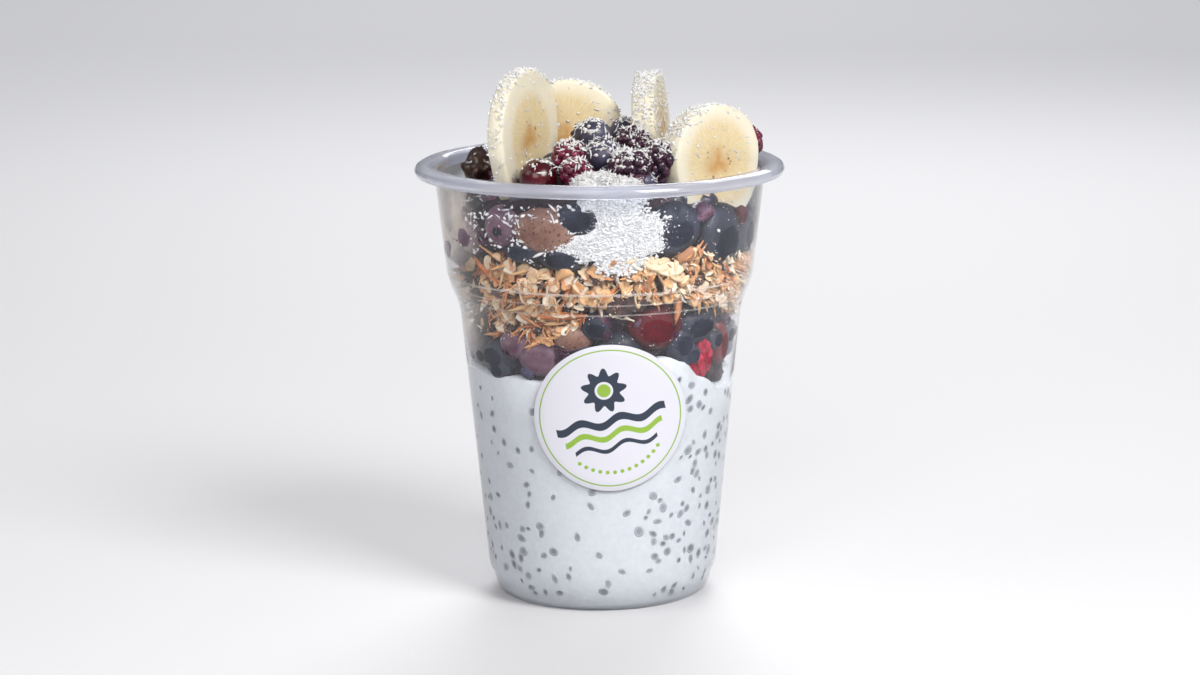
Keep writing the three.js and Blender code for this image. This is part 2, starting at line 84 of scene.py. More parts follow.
def turned(outline_at, around):
    """A body turned round +Z: outline_at gives (radius, height) pairs for a bearing, 0 front, 90 right."""
    bearings = np.arange(around) * 360 / around
    rows = np.array([outline_at(b) for b in bearings])
    points, ring_of = [], []
    for j in range(rows.shape[1]):
        radius, height = rows[:, j, 0], rows[:, j, 1]
        if np.all(radius < 1e-6):
            ring_of.append(np.full(around, len(points)))
            points.append((0.0, 0.0, height[0]))
            continue
        ring_of.append(len(points) + np.arange(around))
        angle = np.radians(bearings)
        points.extend(zip(radius * np.sin(angle), -radius * np.cos(angle), height))
    quads, tris = [], []
    for low, high in zip(ring_of, ring_of[1:]):
        if low[0] == low[-1]:
            tris.extend(zip(low, np.roll(high, -1), high))
        elif high[0] == high[-1]:
            tris.extend(zip(low, np.roll(low, -1), high))
        else:
            quads.extend(zip(low, np.roll(low, -1), np.roll(high, -1), high))
    return np.array(points, float), np.array(quads, int).reshape(-1, 4), np.array(tris, int).reshape(-1, 3)


def in_scene(name, data):
    """A new object in the scene, round a mesh, a lamp or a camera."""
    made = bpy.data.objects.new(name, data)
    bpy.context.scene.collection.objects.link(made)
    return made


def new_piece(name, shape, materials, slot, nodes=(), place=None):
    """An object from points in millimetres and their faces, riding on the cup's one body."""
    points, quads, tris = shape
    mesh = bpy.data.meshes.new(name)
    mesh.vertices.add(len(points))
    mesh.vertices.foreach_set("co", (np.asarray(points) * MM).ravel())
    mesh.loops.add(quads.size + tris.size)
    corners = np.concatenate([quads.ravel(), tris.ravel()]).astype(np.int32)
    mesh.loops.foreach_set("vertex_index", corners)
    starts = np.concatenate([np.arange(len(quads)) * 4, quads.size + np.arange(len(tris)) * 3])
    mesh.polygons.add(len(starts))
    mesh.polygons.foreach_set("loop_start", starts.astype(np.int32))
    mesh.polygons.foreach_set("use_smooth", np.ones(len(starts), bool))
    mesh.update(calc_edges=True)
    mesh.validate()
    for made in materials:
        mesh.materials.append(made)
    piece = in_scene(name, mesh)
    if place is not None:
        piece.matrix_world = Matrix.Translation(place.translation * MM) @ place.to_3x3().to_4x4()
    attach(piece, "root")
    if nodes:
        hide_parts(*nodes)
    return piece


def linear(red, green, blue):
    """A colour read off the photograph as 0 to 255, as the light it stands for."""
    shares = [c / 255 for c in (red, green, blue)]
    return (*(((s + 0.055) / 1.055) ** 2.4 if s > 0.04 else s / 12.92 for s in shares), 1)


class Field:
    """A number that varies over a surface: a shader's socket that is reckoned with like a plain number."""

    def __init__(self, tree, socket):
        self.tree, self.socket = tree, socket

    def of(self, operation, *others):
        """One of Blender's sums on this field and the others."""
        values = dict(enumerate((self, *others)))
        return Field(self.tree, add(self.tree, "Math", values, operation=operation).outputs[0])

    def __add__(self, other):
        return self.of("ADD", other)

    def __sub__(self, other):
        return self.of("SUBTRACT", other)

    def __mul__(self, other):
        return self.of("MULTIPLY", other)

    def __abs__(self):
        return self.of("ABSOLUTE")


def add(tree, kind, inputs=None, **settings):
    """A shader node with its settings; an input takes a value, a field or another node's output."""
    made = tree.nodes.new("ShaderNode" + kind)
    for key, value in settings.items():
        setattr(made, key, value)
    for key, value in (inputs or {}).items():
        if isinstance(value, Field):
            value = value.socket
        if isinstance(value, bpy.types.NodeSocket):
            tree.links.new(value, made.inputs[key])
        else:
            made.inputs[key].default_value = value
    return made


def cloudy(tree, scale, detail, **more):
    """Soft noise: waves across the piece, or for each metre where a place is given as its Vector."""
    return Field(tree, add(tree, "TexNoise", {"Scale": scale, "Detail": detail, **more}).outputs["Fac"])


def bumped(tree, shader, height, strength, distance):
    """Fine relief on a shader's surface, its distance in metres."""
    bump = add(tree, "Bump", {"Height": height, "Strength": strength, "Distance": distance})
    tree.links.new(bump.outputs[0], shader.inputs["Normal"])


def own_place(tree):
    """A point's place in its own piece, in metres."""
    return add(tree, "TexCoord").outputs["Object"]


def new_material(name, inputs):
    """A material with one Principled shader; returns the material, its nodes and that shader."""
    made = bpy.data.materials.new(name)
    made.use_nodes = True
    tree = made.node_tree
    tree.nodes.clear()
    shader = add(tree, "BsdfPrincipled", inputs)
    output = add(tree, "OutputMaterial")
    tree.links.new(shader.outputs[0], output.inputs["Surface"])
    return made, tree, shader


def clear_material(name, tint, clearness, roughness, shine, shadow_tint):
    """Plastic that lets light through to what it holds, so that the contents aren't dark."""
    made, tree, shader = new_material(name, {
        "Base Color": tint, "Roughness": roughness, "IOR": 1.36, "Transmission Weight": clearness,
        "Specular IOR Level": shine,
    })
    bumped(tree, shader, cloudy(tree, 45.0, 1.0, Vector=own_place(tree)), 0.1, 0.0003)
    shade = add(tree, "BsdfTransparent", {"Color": shadow_tint})
    shadow = add(tree, "LightPath").outputs["Is Shadow Ray"]
    mix = add(tree, "MixShader", {0: shadow, 1: shader.outputs[0], 2: shade.outputs[0]})
    tree.links.new(mix.outputs[0], tree.nodes["Material Output"].inputs["Surface"])
    return made


cup_inside = [(r - CUP_WALL, z) for r, z in CUP_OUTSIDE[2:]][::-1]
wall_out, rim_round = [(0, 0), *CUP_OUTSIDE], [CUP_OUTSIDE[-1], *CUP_RIM, cup_inside[0]]
wall_in = [*cup_inside, (25.8, CUP_FLOOR), (0, CUP_FLOOR)]
cup_outline = ringed([*rounded(wall_out, 0.8), *rounded(rim_round, 0.3)[1:-1], *rounded(wall_in, 0.8)])
clear_plastic = clear_material("clear_plastic", linear(251, 252, 254), 1.0, 0.03, 0.2, linear(244, 245, 248))
milky_plastic = clear_material("milky_rim", linear(208, 210, 220), 0.65, 0.09, 0.9, linear(224, 226, 232))
cup_shape = turned(lambda _: cup_outline, 168)
cup = new_piece("cup_body", cup_shape, [clear_plastic, milky_plastic], "clear_plastic", ["cup"])
for face in cup.data.polygons:
    face.material_index = int(face.center.z > CUP_OUTSIDE[-1][1] * MM)

# The yogurt fills the lower half of the cup and wets its wall, so it reaches a little way into the plastic.
# Its top is uneven, where the fruit was spooned on; soaked chia seeds hang in it and show as soft grey dots.
YOGURT_TOP = [
    (-180, 60), (-120, 62.5), (-75, 61), (-30, 61), (0, 63.5), (28, 67.3), (37, 65), (47, 60.5), (64, 56.5),
    (110, 59),
]
OUTSIDE_RADII, OUTSIDE_HEIGHTS = zip(*CUP_OUTSIDE)
YOGURT_MIDDLE = 62
WETTING = 0.12
GAP = 0.3
FULL_REACH = 36
MILKY = {
    "Roughness": 0.32, "Subsurface Weight": 0.25, "Subsurface Radius": (1.0, 0.9, 0.8),
    "Subsurface Scale": 0.002,
}


def outside_radius(height):
    """Radius of the cup's outside at one height or several."""
    return np.interp(height, OUTSIDE_HEIGHTS, OUTSIDE_RADII)


def inside_radius(height):
    """Radius of the cup's inside at one height or several."""
    return outside_radius(height) - CUP_WALL


def height_round(named, bearing):
    """Height at a bearing, eased between the heights named round the wall."""
    at, heights = zip(*named, (180, named[0][1]))
    turned_to = (bearing + 180) % 360 - 180
    j = max(1, int(np.searchsorted(at, turned_to)))
    t = (turned_to - at[j - 1]) / (at[j] - at[j - 1])
    return heights[j - 1] + (heights[j] - heights[j - 1]) * t * t * (3 - 2 * t)


def uneven(named, middle, wave):
    """A layer's surface, from the middle's height out to the heights named at the wall."""

    def height(bearing, radius=FULL_REACH):
        t = min(1.0, max(0.0, radius / 35))
        outward = t * t * (3 - 2 * t)
        angle = radians(bearing)
        ripple = wave * (sin(9 * angle + 1) + 0.6 * sin(14 * angle + middle))
        return middle + (height_round(named, bearing) - middle) * outward + ripple * outward

    return height


yogurt_top = uneven(YOGURT_TOP, YOGURT_MIDDLE, 0.25)


def mixed(tree, share, one, other):
    """A colour between two, by a share that varies over the surface."""
    return add(tree, "Mix", {0: share, 6: one, 7: other}, data_type="RGBA").outputs[2]


def yogurt_outline(bearing):
    """From the middle of the floor, out and up the wall to the yogurt's edge, and back over its top."""
    edge = yogurt_top(bearing) - GAP / 2
    bottom = CUP_FLOOR - WETTING
    wall_heights = [2.2, 5.0, 6.9, *np.linspace(12, 50, 8), edge - 0.6]
    wall = [(inside_radius(z) + WETTING, z) for z in wall_heights]
    top = [(r, yogurt_top(bearing, r) - GAP / 2) for r in (30, 22, 12)]
    corner = (inside_radius(edge) - 0.5, edge)
    return [(0, bottom), (25.6, bottom), *wall, corner, *top, (0, YOGURT_MIDDLE - GAP / 2)]


yogurt_paint, nodes, shader = new_material("yogurt", MILKY)
cloud = cloudy(nodes, 45.0, 3.0, Roughness=0.6)
tone = mixed(nodes, cloud, linear(196, 201, 207), linear(217, 221, 226))
nodes.links.new(tone, shader.inputs["Base Color"])
bumped(nodes, shader, cloudy(nodes, 260.0, 2.0), 0.15, 0.0003)
new_piece("yogurt_body", turned(yogurt_outline, 144), [yogurt_paint], "yogurt", ["yogurt"])

# The label is a round paper sticker pressed on the front of the wall, printed in green and navy: a thin ring
# near the edge, a rosette, waves under it and a row of dots. Its print is a generic design.
LABEL_RADIUS = 19.1
LABEL_CENTRE = (2.2, 52.2)
LABEL_BACK = 0.15
LABEL_PAPER = 0.25
LABEL_TURN = 12
RING_RADIUS, RING_HALF = 17.7, 0.17
ROSE_HEIGHT, ROSE_RADIUS, ROSE_HOLLOW, ROSE_HEART = 7.4, 4.9, 2.3, 1.7
PETALS, PETAL_DEPTH = 9.0, 0.9
CREST_TURN, CREST_HEIGHT = 0.62, 0.9
DOT_RING, DOT_RADIUS, DOT_STEP, DOT_APART, DOTS_TO_SIDE = 14.2, 0.5, 7.5, 1.85, 6.5
PRINT_EDGE = 0.06


def label_shape():
    """A thin round skin: its back, its rounded edge and its face, bent to the wall."""
    inner = (0, 4, 8, 12, 16)
    lip = LABEL_RADIUS - 0.08
    edge = [(lip, 0), (LABEL_RADIUS, 0.04), (LABEL_RADIUS, 0.18), (lip, LABEL_PAPER)]
    outline = [*((r, 0) for r in inner), *edge, *((r, LABEL_PAPER) for r in inner[::-1])]
    points, quads, tris = turned(lambda _: outline, 96)
    across, up, out = points.T
    x, z = LABEL_CENTRE[0] + across, LABEL_CENTRE[1] - up
    radius = outside_radius(z) + LABEL_BACK + out
    return np.column_stack([x, -np.sqrt(radius**2 - x**2), z]), quads, tris


def ranged(field, low, high, least=0.0, most=1.0, smooth=False):
    """The stretch of a field from low to high, spread from least to most."""
    settings = {"interpolation_type": "SMOOTHSTEP"} if smooth else {}
    made = add(field.tree, "MapRange", {0: field, 1: low, 2: high, 3: least, 4: most}, **settings)
    return Field(field.tree, made.outputs[0])


def inked(distance):
    """A mask that is 1 where a distance is under zero, with an edge as sharp as print."""
    return ranged(distance, PRINT_EDGE, -PRINT_EDGE)


label_paper, nodes, shader = new_material("label_paper", {"Roughness": 0.38, "Coat Weight": 0.15})
centre = (LABEL_CENTRE[0] * MM, 0, LABEL_CENTRE[1] * MM)
from_centre = add(nodes, "VectorMath", {0: own_place(nodes), 1: centre}, operation="SUBTRACT").outputs[0]
in_mm = add(nodes, "VectorMath", {0: from_centre, "Scale": 1 / MM}, operation="SCALE").outputs[0]
straight = add(
    nodes, "VectorRotate", {"Vector": in_mm, "Axis": (0, 1, 0), "Angle": radians(LABEL_TURN)},
    rotation_type="AXIS_ANGLE",
)
axes = add(nodes, "SeparateXYZ", {0: straight.outputs[0]}).outputs
u, v = Field(nodes, axes["X"]), Field(nodes, axes["Z"])
reach = (u * u + v * v).of("SQRT")
ring = inked(abs(reach - RING_RADIUS) - RING_HALF)
high = v - ROSE_HEIGHT
rose_reach = (u * u + high * high).of("SQRT")
petals = (high.of("ARCTAN2", u) * PETALS).of("COSINE")
rose = inked(rose_reach - (petals * PETAL_DEPTH + ROSE_RADIUS)) - inked(rose_reach - ROSE_HOLLOW)
heart = inked(rose_reach - ROSE_HEART)


def wave_band(height, half, reach_out):
    """A wavy stripe at a height under the rosette."""
    crest = (u * CREST_TURN).of("SINE") * CREST_HEIGHT
    off = abs(v - height - crest) - half
    return inked(off.of("MAXIMUM", abs(u) - reach_out))


steps_round = u.of("ARCTAN2", v * -1.0) * (180 / pi / DOT_STEP)
from_dot = (steps_round - steps_round.of("ROUND")) * DOT_APART
past_ring = reach - DOT_RING
dot_reach = (from_dot * from_dot + past_ring * past_ring).of("SQRT")
dots = inked((dot_reach - DOT_RADIUS).of("MAXIMUM", abs(steps_round) - DOTS_TO_SIDE))
navy = rose.of("MAXIMUM", wave_band(-0.8, 1.0, 14.0)).of("MAXIMUM", wave_band(-7.4, 0.55, 10.5))
lime = ring.of("MAXIMUM", heart).of("MAXIMUM", wave_band(-4.2, 0.75, 12.5)).of("MAXIMUM", dots)
fibre = cloudy(nodes, 900.0, 3.0)
paper = mixed(nodes, fibre, linear(220, 221, 232), linear(228, 228, 238))
green_on = mixed(nodes, lime, paper, linear(146, 184, 62))
nodes.links.new(mixed(nodes, navy, green_on, linear(38, 50, 70)), shader.inputs["Base Color"])
bumped(nodes, shader, fibre, 0.08, 0.0001)
new_piece("label_sticker", label_shape(), [label_paper], "label_paper", ["label"])

# Chia seeds: small flat ovals, soaked and swollen, that hang in the yogurt. Those near the wall show through
# a film of it, dark in the middle and fading at the edge, so each fades into the yogurt round it.
CHIA_TRIES = 1800
CHIA_RADII = (0.75, 1.5)
CHIA_APART = 1.7
CHIA_LENS = [(0, -1), (0.75, -0.65), (1, 0), (0.8, 0.55), (0.45, 0.88), (0, 1)]


def ball(around, down):
    """A ball of radius 1 round the origin, in even rings."""
    angles = [-pi / 2 + pi * j / down for j in range(down + 1)]
    outline = [(cos(a) if 0 < j < down else 0.0, sin(a)) for j, a in enumerate(angles)]
    return turned(lambda _: outline, around)


def moved(shape, matrix):
    """The shape after a move and a turn."""
    points, quads, tris = shape
    m = np.array(matrix)
    return points @ m[:3, :3].T + m[:3, 3], quads, tris


def joined(shapes):
    """Several shapes as one."""
    starts = np.cumsum([0] + [len(s[0]) for s in shapes[:-1]])
    return (
        np.concatenate([s[0] for s in shapes]),
        np.concatenate([s[1] + start for s, start in zip(shapes, starts)]),
        np.concatenate([s[2] + start for s, start in zip(shapes, starts)]),
    )


def tone_by_piece(tree, stops):
    """A colour that differs from piece to piece, off a ramp of (place, colour) stops."""
    ramp = add(tree, "ValToRGB", {0: add(tree, "NewGeometry").outputs["Random Per Island"]})
    steps = ramp.color_ramp.elements
    for j, (at, colour) in enumerate(stops):
        step = steps[j] if j < 2 else steps.new(at)
        step.position, step.color = at, linear(*colour)
    return ramp.outputs[0]


def give_film(piece, thickness):
    """Tells a material how thick the film is at each of the piece's points, as its film attribute."""
    film = piece.data.attributes.new("film", "FLOAT", "POINT")
    film.data.foreach_set("value", np.asarray(thickness, np.float32))


def film_on(tree):
    """The thickness that give_film told."""
    return Field(tree, add(tree, "Attribute", attribute_name="film").outputs["Fac"])


def chia_share(bearing, height):
    """How likely a seed is kept: they crowd at the right, behind and low on the left, and in clouds."""
    crowd = 0.15 + 0.85 * max(0.0, 0.5 + 0.9 * noise.noise(Vector((bearing / 24, height / 10, 4))))
    if bearing > 22 or bearing < -120:
        return crowd
    return crowd * (0.9 if height < 22 and bearing < -12 else 0.2)


draw = np.random.default_rng(11)
chia_places = []
for _ in range(CHIA_TRIES):
    bearing, height = draw.uniform(-180, 180), draw.uniform(4, 64)
    if height > yogurt_top(bearing) - 2.0:
        continue
    spot = np.array([radians(bearing) * inside_radius(height), height])
    near = any(np.hypot(*(spot - other)) < CHIA_APART for other, _, _ in chia_places)
    if draw.random() < chia_share(bearing, height) and not near:
        chia_places.append((spot, bearing, height))
chia_shape = moved(turned(lambda _: CHIA_LENS, 14), Matrix.Rotation(pi / 2, 4, "X"))
chia = []
for _, bearing, height in chia_places:
    long, spin = draw.uniform(*CHIA_RADII), draw.uniform(0, pi)
    x, y, z = (chia_shape[0] * (long * draw.uniform(0.6, 0.95), 1, long)).T
    along, up = x * cos(spin) + z * sin(spin), z * cos(spin) - x * sin(spin)
    radius = inside_radius(height + up) + WETTING + 0.01 - 0.03 * y
    angle = radians(bearing) + along / radius
    points = np.column_stack([radius * np.sin(angle), -radius * np.cos(angle), height + up])
    chia.append((points, *chia_shape[1:]))
chia_paint, nodes, shader = new_material("chia_seed", MILKY)
tones = tone_by_piece(nodes, [(0, (56, 62, 76)), (0.1, (78, 66, 66)), (1, (158, 168, 182))])
speckled = mixed(nodes, cloudy(nodes, 1600.0, 2.0), tones, linear(120, 126, 138))
bared = ranged(film_on(nodes), 0.0, 0.95, 0.0, 0.88, smooth=True)
nodes.links.new(mixed(nodes, bared, linear(208, 213, 219), speckled), shader.inputs["Base Color"])
chia_piece = new_piece("chia_seeds", joined(chia), [chia_paint], "yogurt")
give_film(chia_piece, np.tile(1 - chia_shape[0][:, 0] ** 2 - chia_shape[0][:, 2] ** 2, len(chia)))

# The lower fruit is a layer of crushed berries in their own thick juice: whole dark berries, a dark cherry
# and a raspberry press flat against the wall, and broken skins and juice fill the room between them.
GRANOLA_BASE = [
    (-180, 73), (-110, 71), (-75, 70), (-35, 69.5), (-14, 71.5), (0, 80.5), (22, 81.5), (50, 78), (90, 72),
    (135, 75),
]
LOWER_FRONT = [
    ("slate", -52, 66, (6.2, 5, 5.0)), ("violet", -27, 67, (7.0, 5, 5.6)),
    ("brown", -12, 72.5, (5.0, 4, 4.2)), ("broken", 1, 77, (2.4, 2.2, 4.2)),
    ("cherry", 24.5, 75.4, (7.6, 5, 6.8)), ("slate", 7, 69, (6.4, 5, 5.2)),
    ("slate", 46, 74, (7.4, 5, 5.4)), ("raspberry", 50, 65.5, (4.8, 4, 6.6)),
    ("cherry", 64, 68, (3.4, 3, 6.6)), ("raspberry", 41, 63.5, (2.8, 3, 4.6)),
    ("slate", 37, 70, (4.6, 4, 5.0)), ("slate", -2, 75.5, (4.2, 4, 4.0)),
    ("violet", -40, 70, (5.2, 4, 4.4)),
]
LEANING_DEPTH = 0.84
SCRAPS = 45
BACK_FROM, BACK_WIDTH = 78, 204
GLOSSY = {
    "Roughness": 0.24, "Coat Weight": 0.3, "Coat Roughness": 0.1, "Subsurface Weight": 0.12,
    "Subsurface Scale": 0.001,
}
BLOOMY = {"Roughness": 0.42, "Coat Weight": 0.15}
STICKY = {"Roughness": 0.3, "Coat Weight": 0.5, "Coat Roughness": 0.15}
PRESSED = {"Roughness": 0.45, "Specular IOR Level": 0.2, "Coat Weight": 0.06, "Coat Roughness": 0.2}
SKINS = {
    "blueberry": (((46, 44, 66), (88, 86, 112), (98, 46, 72)), (160, 900), 0.25, 0.5, 0.25, BLOOMY),
    "slate": (((29, 33, 46), (54, 58, 74), (86, 32, 50)), (140, 1000), 0.15, 0.3, 0.2, BLOOMY),
    "violet": (((84, 58, 76), (124, 98, 110), (120, 44, 84)), (150, 900), 0.25, 0.2, 0.15, BLOOMY),
    "brown": (((118, 82, 72), (168, 134, 118), (92, 62, 56)), (80, 1300), 0.35, 0.2, 0.1, BLOOMY),
    "cherry": (((94, 2, 22), (54, 2, 14), (132, 30, 52)), (220, 1100), 0.1, 0.3, 0.12, GLOSSY),
    "bramble": (((44, 24, 44), (74, 34, 58), (120, 70, 92)), (300, 1500), 0.25, 0.5, 0.25, GLOSSY),
    "raspberry": (((146, 10, 42), (182, 38, 70), (92, 6, 28)), (300, 1500), 0.3, 0.4, 0.25, GLOSSY),
    "dusky": (((98, 18, 52), (136, 42, 80), (58, 10, 32)), (300, 1500), 0.3, 0.6, 0.25, GLOSSY),
    "dried": (((58, 34, 30), (92, 60, 46), (34, 18, 18)), (260, 1300), 0.4, 0.4, 0.6, STICKY),
    "broken": (((78, 54, 74), (112, 84, 104), (84, 22, 46)), (300, 1200), 0.45, 0.7, 0.3, GLOSSY),
}


def shared_effect(name, inputs, outputs):
    """An effect shared by several materials: its nodes, where its inputs come in and its results go out."""
    tree = bpy.data.node_groups.new(name, "ShaderNodeTree")
    for title, kind, value in inputs:
        socket = tree.interface.new_socket(title, in_out="INPUT", socket_type="NodeSocket" + kind)
        socket.default_value = value
    for title, kind in outputs:
        tree.interface.new_socket(title, in_out="OUTPUT", socket_type="NodeSocket" + kind)
    return tree, tree.nodes.new("NodeGroupInput").outputs, tree.nodes.new("NodeGroupOutput").inputs


MOTTLING = [
    ("Base", "Color", (0.5, 0.5, 0.5, 1)), ("Patch", "Color", (0.8, 0.8, 0.8, 1)),
    ("Speck", "Color", (0.1, 0.1, 0.1, 1)), ("Patch Scale", "Float", 250.0), ("Speck Scale", "Float", 1500.0),
    ("Speck Share", "Float", 0.2), ("Piece Spread", "Float", 0.3), ("Relief", "Float", 0.3),
]
mottling, given, result = shared_effect("mottled_skin", MOTTLING, [("Colour", "Color"), ("Normal", "Vector")])
place = own_place(mottling)
patch = cloudy(mottling, given["Patch Scale"], 4.0, Vector=place, Roughness=0.6)
speck = cloudy(mottling, given["Speck Scale"], 2.0, Vector=place)
rarer = Field(mottling, given["Speck Share"]) * -0.35 + 0.72
patched = mixed(mottling, ranged(patch, 0.38, 0.64), given["Base"], given["Patch"])
specked = mixed(mottling, ranged(speck, rarer, rarer + 0.06), patched, given["Speck"])
island = Field(mottling, add(mottling, "NewGeometry").outputs["Random Per Island"])
spread = (island - 0.5) * given["Piece Spread"] + 1.0
varied = add(mottling, "HueSaturation", {"Color": specked, "Value": spread})
relief = add(mottling, "Bump", {
    "Height": patch + speck * 0.5, "Strength": given["Relief"], "Distance": 0.0005,
})
mottling.links.new(varied.outputs[0], result["Colour"])
mottling.links.new(relief.outputs[0], result["Normal"])


def mottled(name, colours, scales, share, spread_of, depth, surface):
    """A material with the mottled skin: base, patch and speck colours, their scales, then its shader's."""
    made, tree, shader = new_material(name, surface)
    titles = [title for title, _, _ in MOTTLING]
    values = (*(linear(*colour) for colour in colours), *scales, share, spread_of, depth)
    effect = add(tree, "Group", dict(zip(titles, values)), node_tree=mottling)
    tree.links.new(effect.outputs["Colour"], shader.inputs["Base Color"])
    tree.links.new(effect.outputs["Normal"], shader.inputs["Normal"])
    return made


def roughened(shape, size, depth, seed):
    """The shape with its skin pushed in and out, by up to depth of its distance from its middle."""
    points, quads, tris = shape
    shift = Vector((seed, 3.1 * seed, 0))
    grown = [1 + depth * noise.noise(Vector(p) / size + shift) for p in points]
    return points * np.array(grown)[:, None], quads, tris


def stretched(across, deep, up):
    """A matrix that stretches along X, Y and Z."""
    return Matrix.Diagonal((across, deep, up, 1))


def blueberry():
    """A round berry with the ring of its old flower on top, five short points round a small hollow."""
    side = [(sin(a), -cos(a) * 0.93) for a in np.linspace(0, 2.62, 13)][1:]

    def outline(bearing):
        point = 0.5 + 0.5 * cos(5 * radians(bearing))
        crown = [(0.4, 0.84), (0.37 + 0.1 * point, 0.93 + 0.1 * point), (0.28, 0.87), (0.2, 0.74)]
        return [(0, -0.93), *side, *crown, (0, 0.7)]

    return roughened(turned(outline, 30), 1.3, 0.06, 1)


def cherry():
    """A smooth drupe with the dimple of its stalk and a shallow seam."""
    side = [(sin(a), -cos(a)) for a in np.linspace(0, 2.75, 14)][1:]

    def outline(bearing):
        seam = 1 - 0.05 * max(0.0, cos(radians(bearing))) ** 8
        return [(0, -1.0), *((r * seam, z) for r, z in side), (0.2, 0.84), (0, 0.7)]

    return roughened(turned(outline, 28), 1.6, 0.07, 2)


def bramble(beads, seed):
    """A berry of small round beads packed round a core, a little taller than wide."""
    drawn = np.random.default_rng(seed)
    bead = ball(8, 5)
    parts = [moved(ball(12, 8), stretched(0.74, 0.74, 0.74))]
    for j in range(beads):
        up = 1 - 2 * (j + 0.5) / beads
        angle = j * pi * (3 - 5**0.5) + drawn.uniform(-0.1, 0.1)
        out = (1 - up * up) ** 0.5
        size = drawn.uniform(0.25, 0.31) * (36 / beads) ** 0.5
        at = Vector((out * cos(angle), out * sin(angle), up)) * (0.97 - size)
        parts.append(moved(bead, Matrix.Translation(at) @ stretched(size, size, size * 1.05)))
    return joined(parts)


def shrunken(seed, around=36):
    """A dried fruit, folded and creased as it shrank."""
    folded = roughened(ball(around, around * 2 // 3), 0.55, 0.45, seed)
    return roughened(folded, 0.2, 0.22, seed + 4)


def broken_skin(seed):
    """A torn scrap of skin and flesh."""
    return roughened(moved(ball(14, 9), stretched(1, 0.55, 0.8)), 0.6, 0.75, seed)


def inside_wall(shape, film):
    """The shape pressed flat where it meets the inside of the wall, a film's depth into the plastic."""
    points, quads, tris = shape
    most = inside_radius(points[:, 2]) + film
    reach = np.maximum(np.hypot(points[:, 0], points[:, 1]), 1e-6)
    points = points.copy()
    points[:, :2] *= np.minimum(1, most / reach)[:, None]
    return points, quads, tris


def any_direction(drawn):
    """A direction drawn evenly over a ball."""
    return Vector(drawn.normal(size=3)).normalized()


def any_turn(drawn):
    """A turn of any size round any direction."""
    axis = any_direction(drawn)
    return Matrix.Rotation(drawn.uniform(0, 2 * pi), 4, axis)


def at_wall(bearing, height, inwards):
    """A place inside the wall: +X runs along it, +Y into the cup."""
    out = inside_radius(height) - inwards
    return Matrix.Rotation(radians(bearing), 4, "Z") @ Matrix.Translation((0, -out, height))


drupe, beaded = [cherry()], [bramble(40, 8), bramble(46, 9)]
FRUIT_FORMS = {
    "blueberry": [blueberry()], "slate": [blueberry(), *drupe], "violet": drupe, "brown": drupe,
    "cherry": drupe, "bramble": [bramble(36, 5), bramble(40, 6)], "raspberry": beaded, "dusky": beaded,
    "dried": [shrunken(3), shrunken(7)], "broken": [broken_skin(seed) for seed in (2, 5, 9)],
}
FRUIT_PAINTS = {kind: mottled(f"{kind}_skin", *skin) for kind, skin in SKINS.items()}
PRESSED_PAINTS = {kind: mottled(f"{kind}_skin_at_wall", *skin[:-1], PRESSED) for kind, skin in SKINS.items()}


def fruit_form(kind, drawn):
    """One of the forms that a kind of fruit has."""
    forms = FRUIT_FORMS[kind]
    return forms[drawn.integers(len(forms))]


def fruit_group(name, placed, paints):
    """One piece per kind of fruit out of a list of (kind, matrix, film), each form turned at random."""
    drawn = np.random.default_rng(len(placed))
    made = []
    for kind in SKINS:
        shapes = []
        for of_kind, matrix, film in placed:
            if of_kind == kind:
                fruit = moved(fruit_form(kind, drawn), matrix @ any_turn(drawn))
                shapes.append(inside_wall(fruit, film) if film else fruit)
        if shapes:
            made.append(joined(shapes))
            new_piece(f"{name}_{kind}", made[-1], [paints[kind]], "dark_fruit")
    return made


def against_wall(kind, bearing, height, size, drawn):
    """A fruit of a size (across, deep, up) leaning on the wall, as (kind, matrix, film)."""
    matrix = at_wall(bearing, height, size[1] * LEANING_DEPTH) @ stretched(*size)
    return kind, matrix, drawn.uniform(0.03, 0.1)


def whole_behind(count, sizes, kinds, height_at, flatness, drawn):
    """Whole fruits leaning on the wall, spread evenly round the back."""
    for i in range(count):
        bearing = BACK_FROM + BACK_WIDTH * (i + 0.5) / count + drawn.uniform(-2, 2)
        size, kind = drawn.uniform(*sizes), drawn.choice(kinds)
        yield against_wall(kind, bearing, height_at(bearing), (size, size * 0.85, size * flatness), drawn)


def scraps_round(sizes, kinds, heights_at, drawn, sway, kept=lambda bearing: True):
    """Small fruits and broken skins that fill the room between the whole ones, all the way round."""
    for i in range(SCRAPS):
        bearing = i * 360 / SCRAPS + drawn.uniform(-sway, sway)
        size, kind = drawn.uniform(*sizes), drawn.choice(kinds)
        height = drawn.uniform(*heights_at(bearing))
        if kept(bearing):
            yield against_wall(kind, bearing, height, (size * 1.2, size * 0.8, size), drawn)


def layer_body(bottom, top, inset, rough, seed, around=144, rows=14):
    """A layer's bulk between two surfaces, its side rough and inset from the wall."""

    def outline(bearing):
        side = []
        for z in np.linspace(bottom(bearing) + 0.4, top(bearing) - 0.4, rows):
            spot = Vector((radians(bearing) * 12, z / 3, seed))
            crags = rough * noise.noise(spot) + rough * 0.5 * noise.noise(spot * 3)
            side.append((inside_radius(z) - inset + crags, z))
        under = [(r, bottom(bearing, r)) for r in (8, 18, 28)]
        over = [(r, top(bearing, r)) for r in (28, 18, 8)]
        return [(0, bottom(0, 0)), *under, *side, *over, (0, top(0, 0))]

    return inside_wall(turned(outline, around), 0.05)


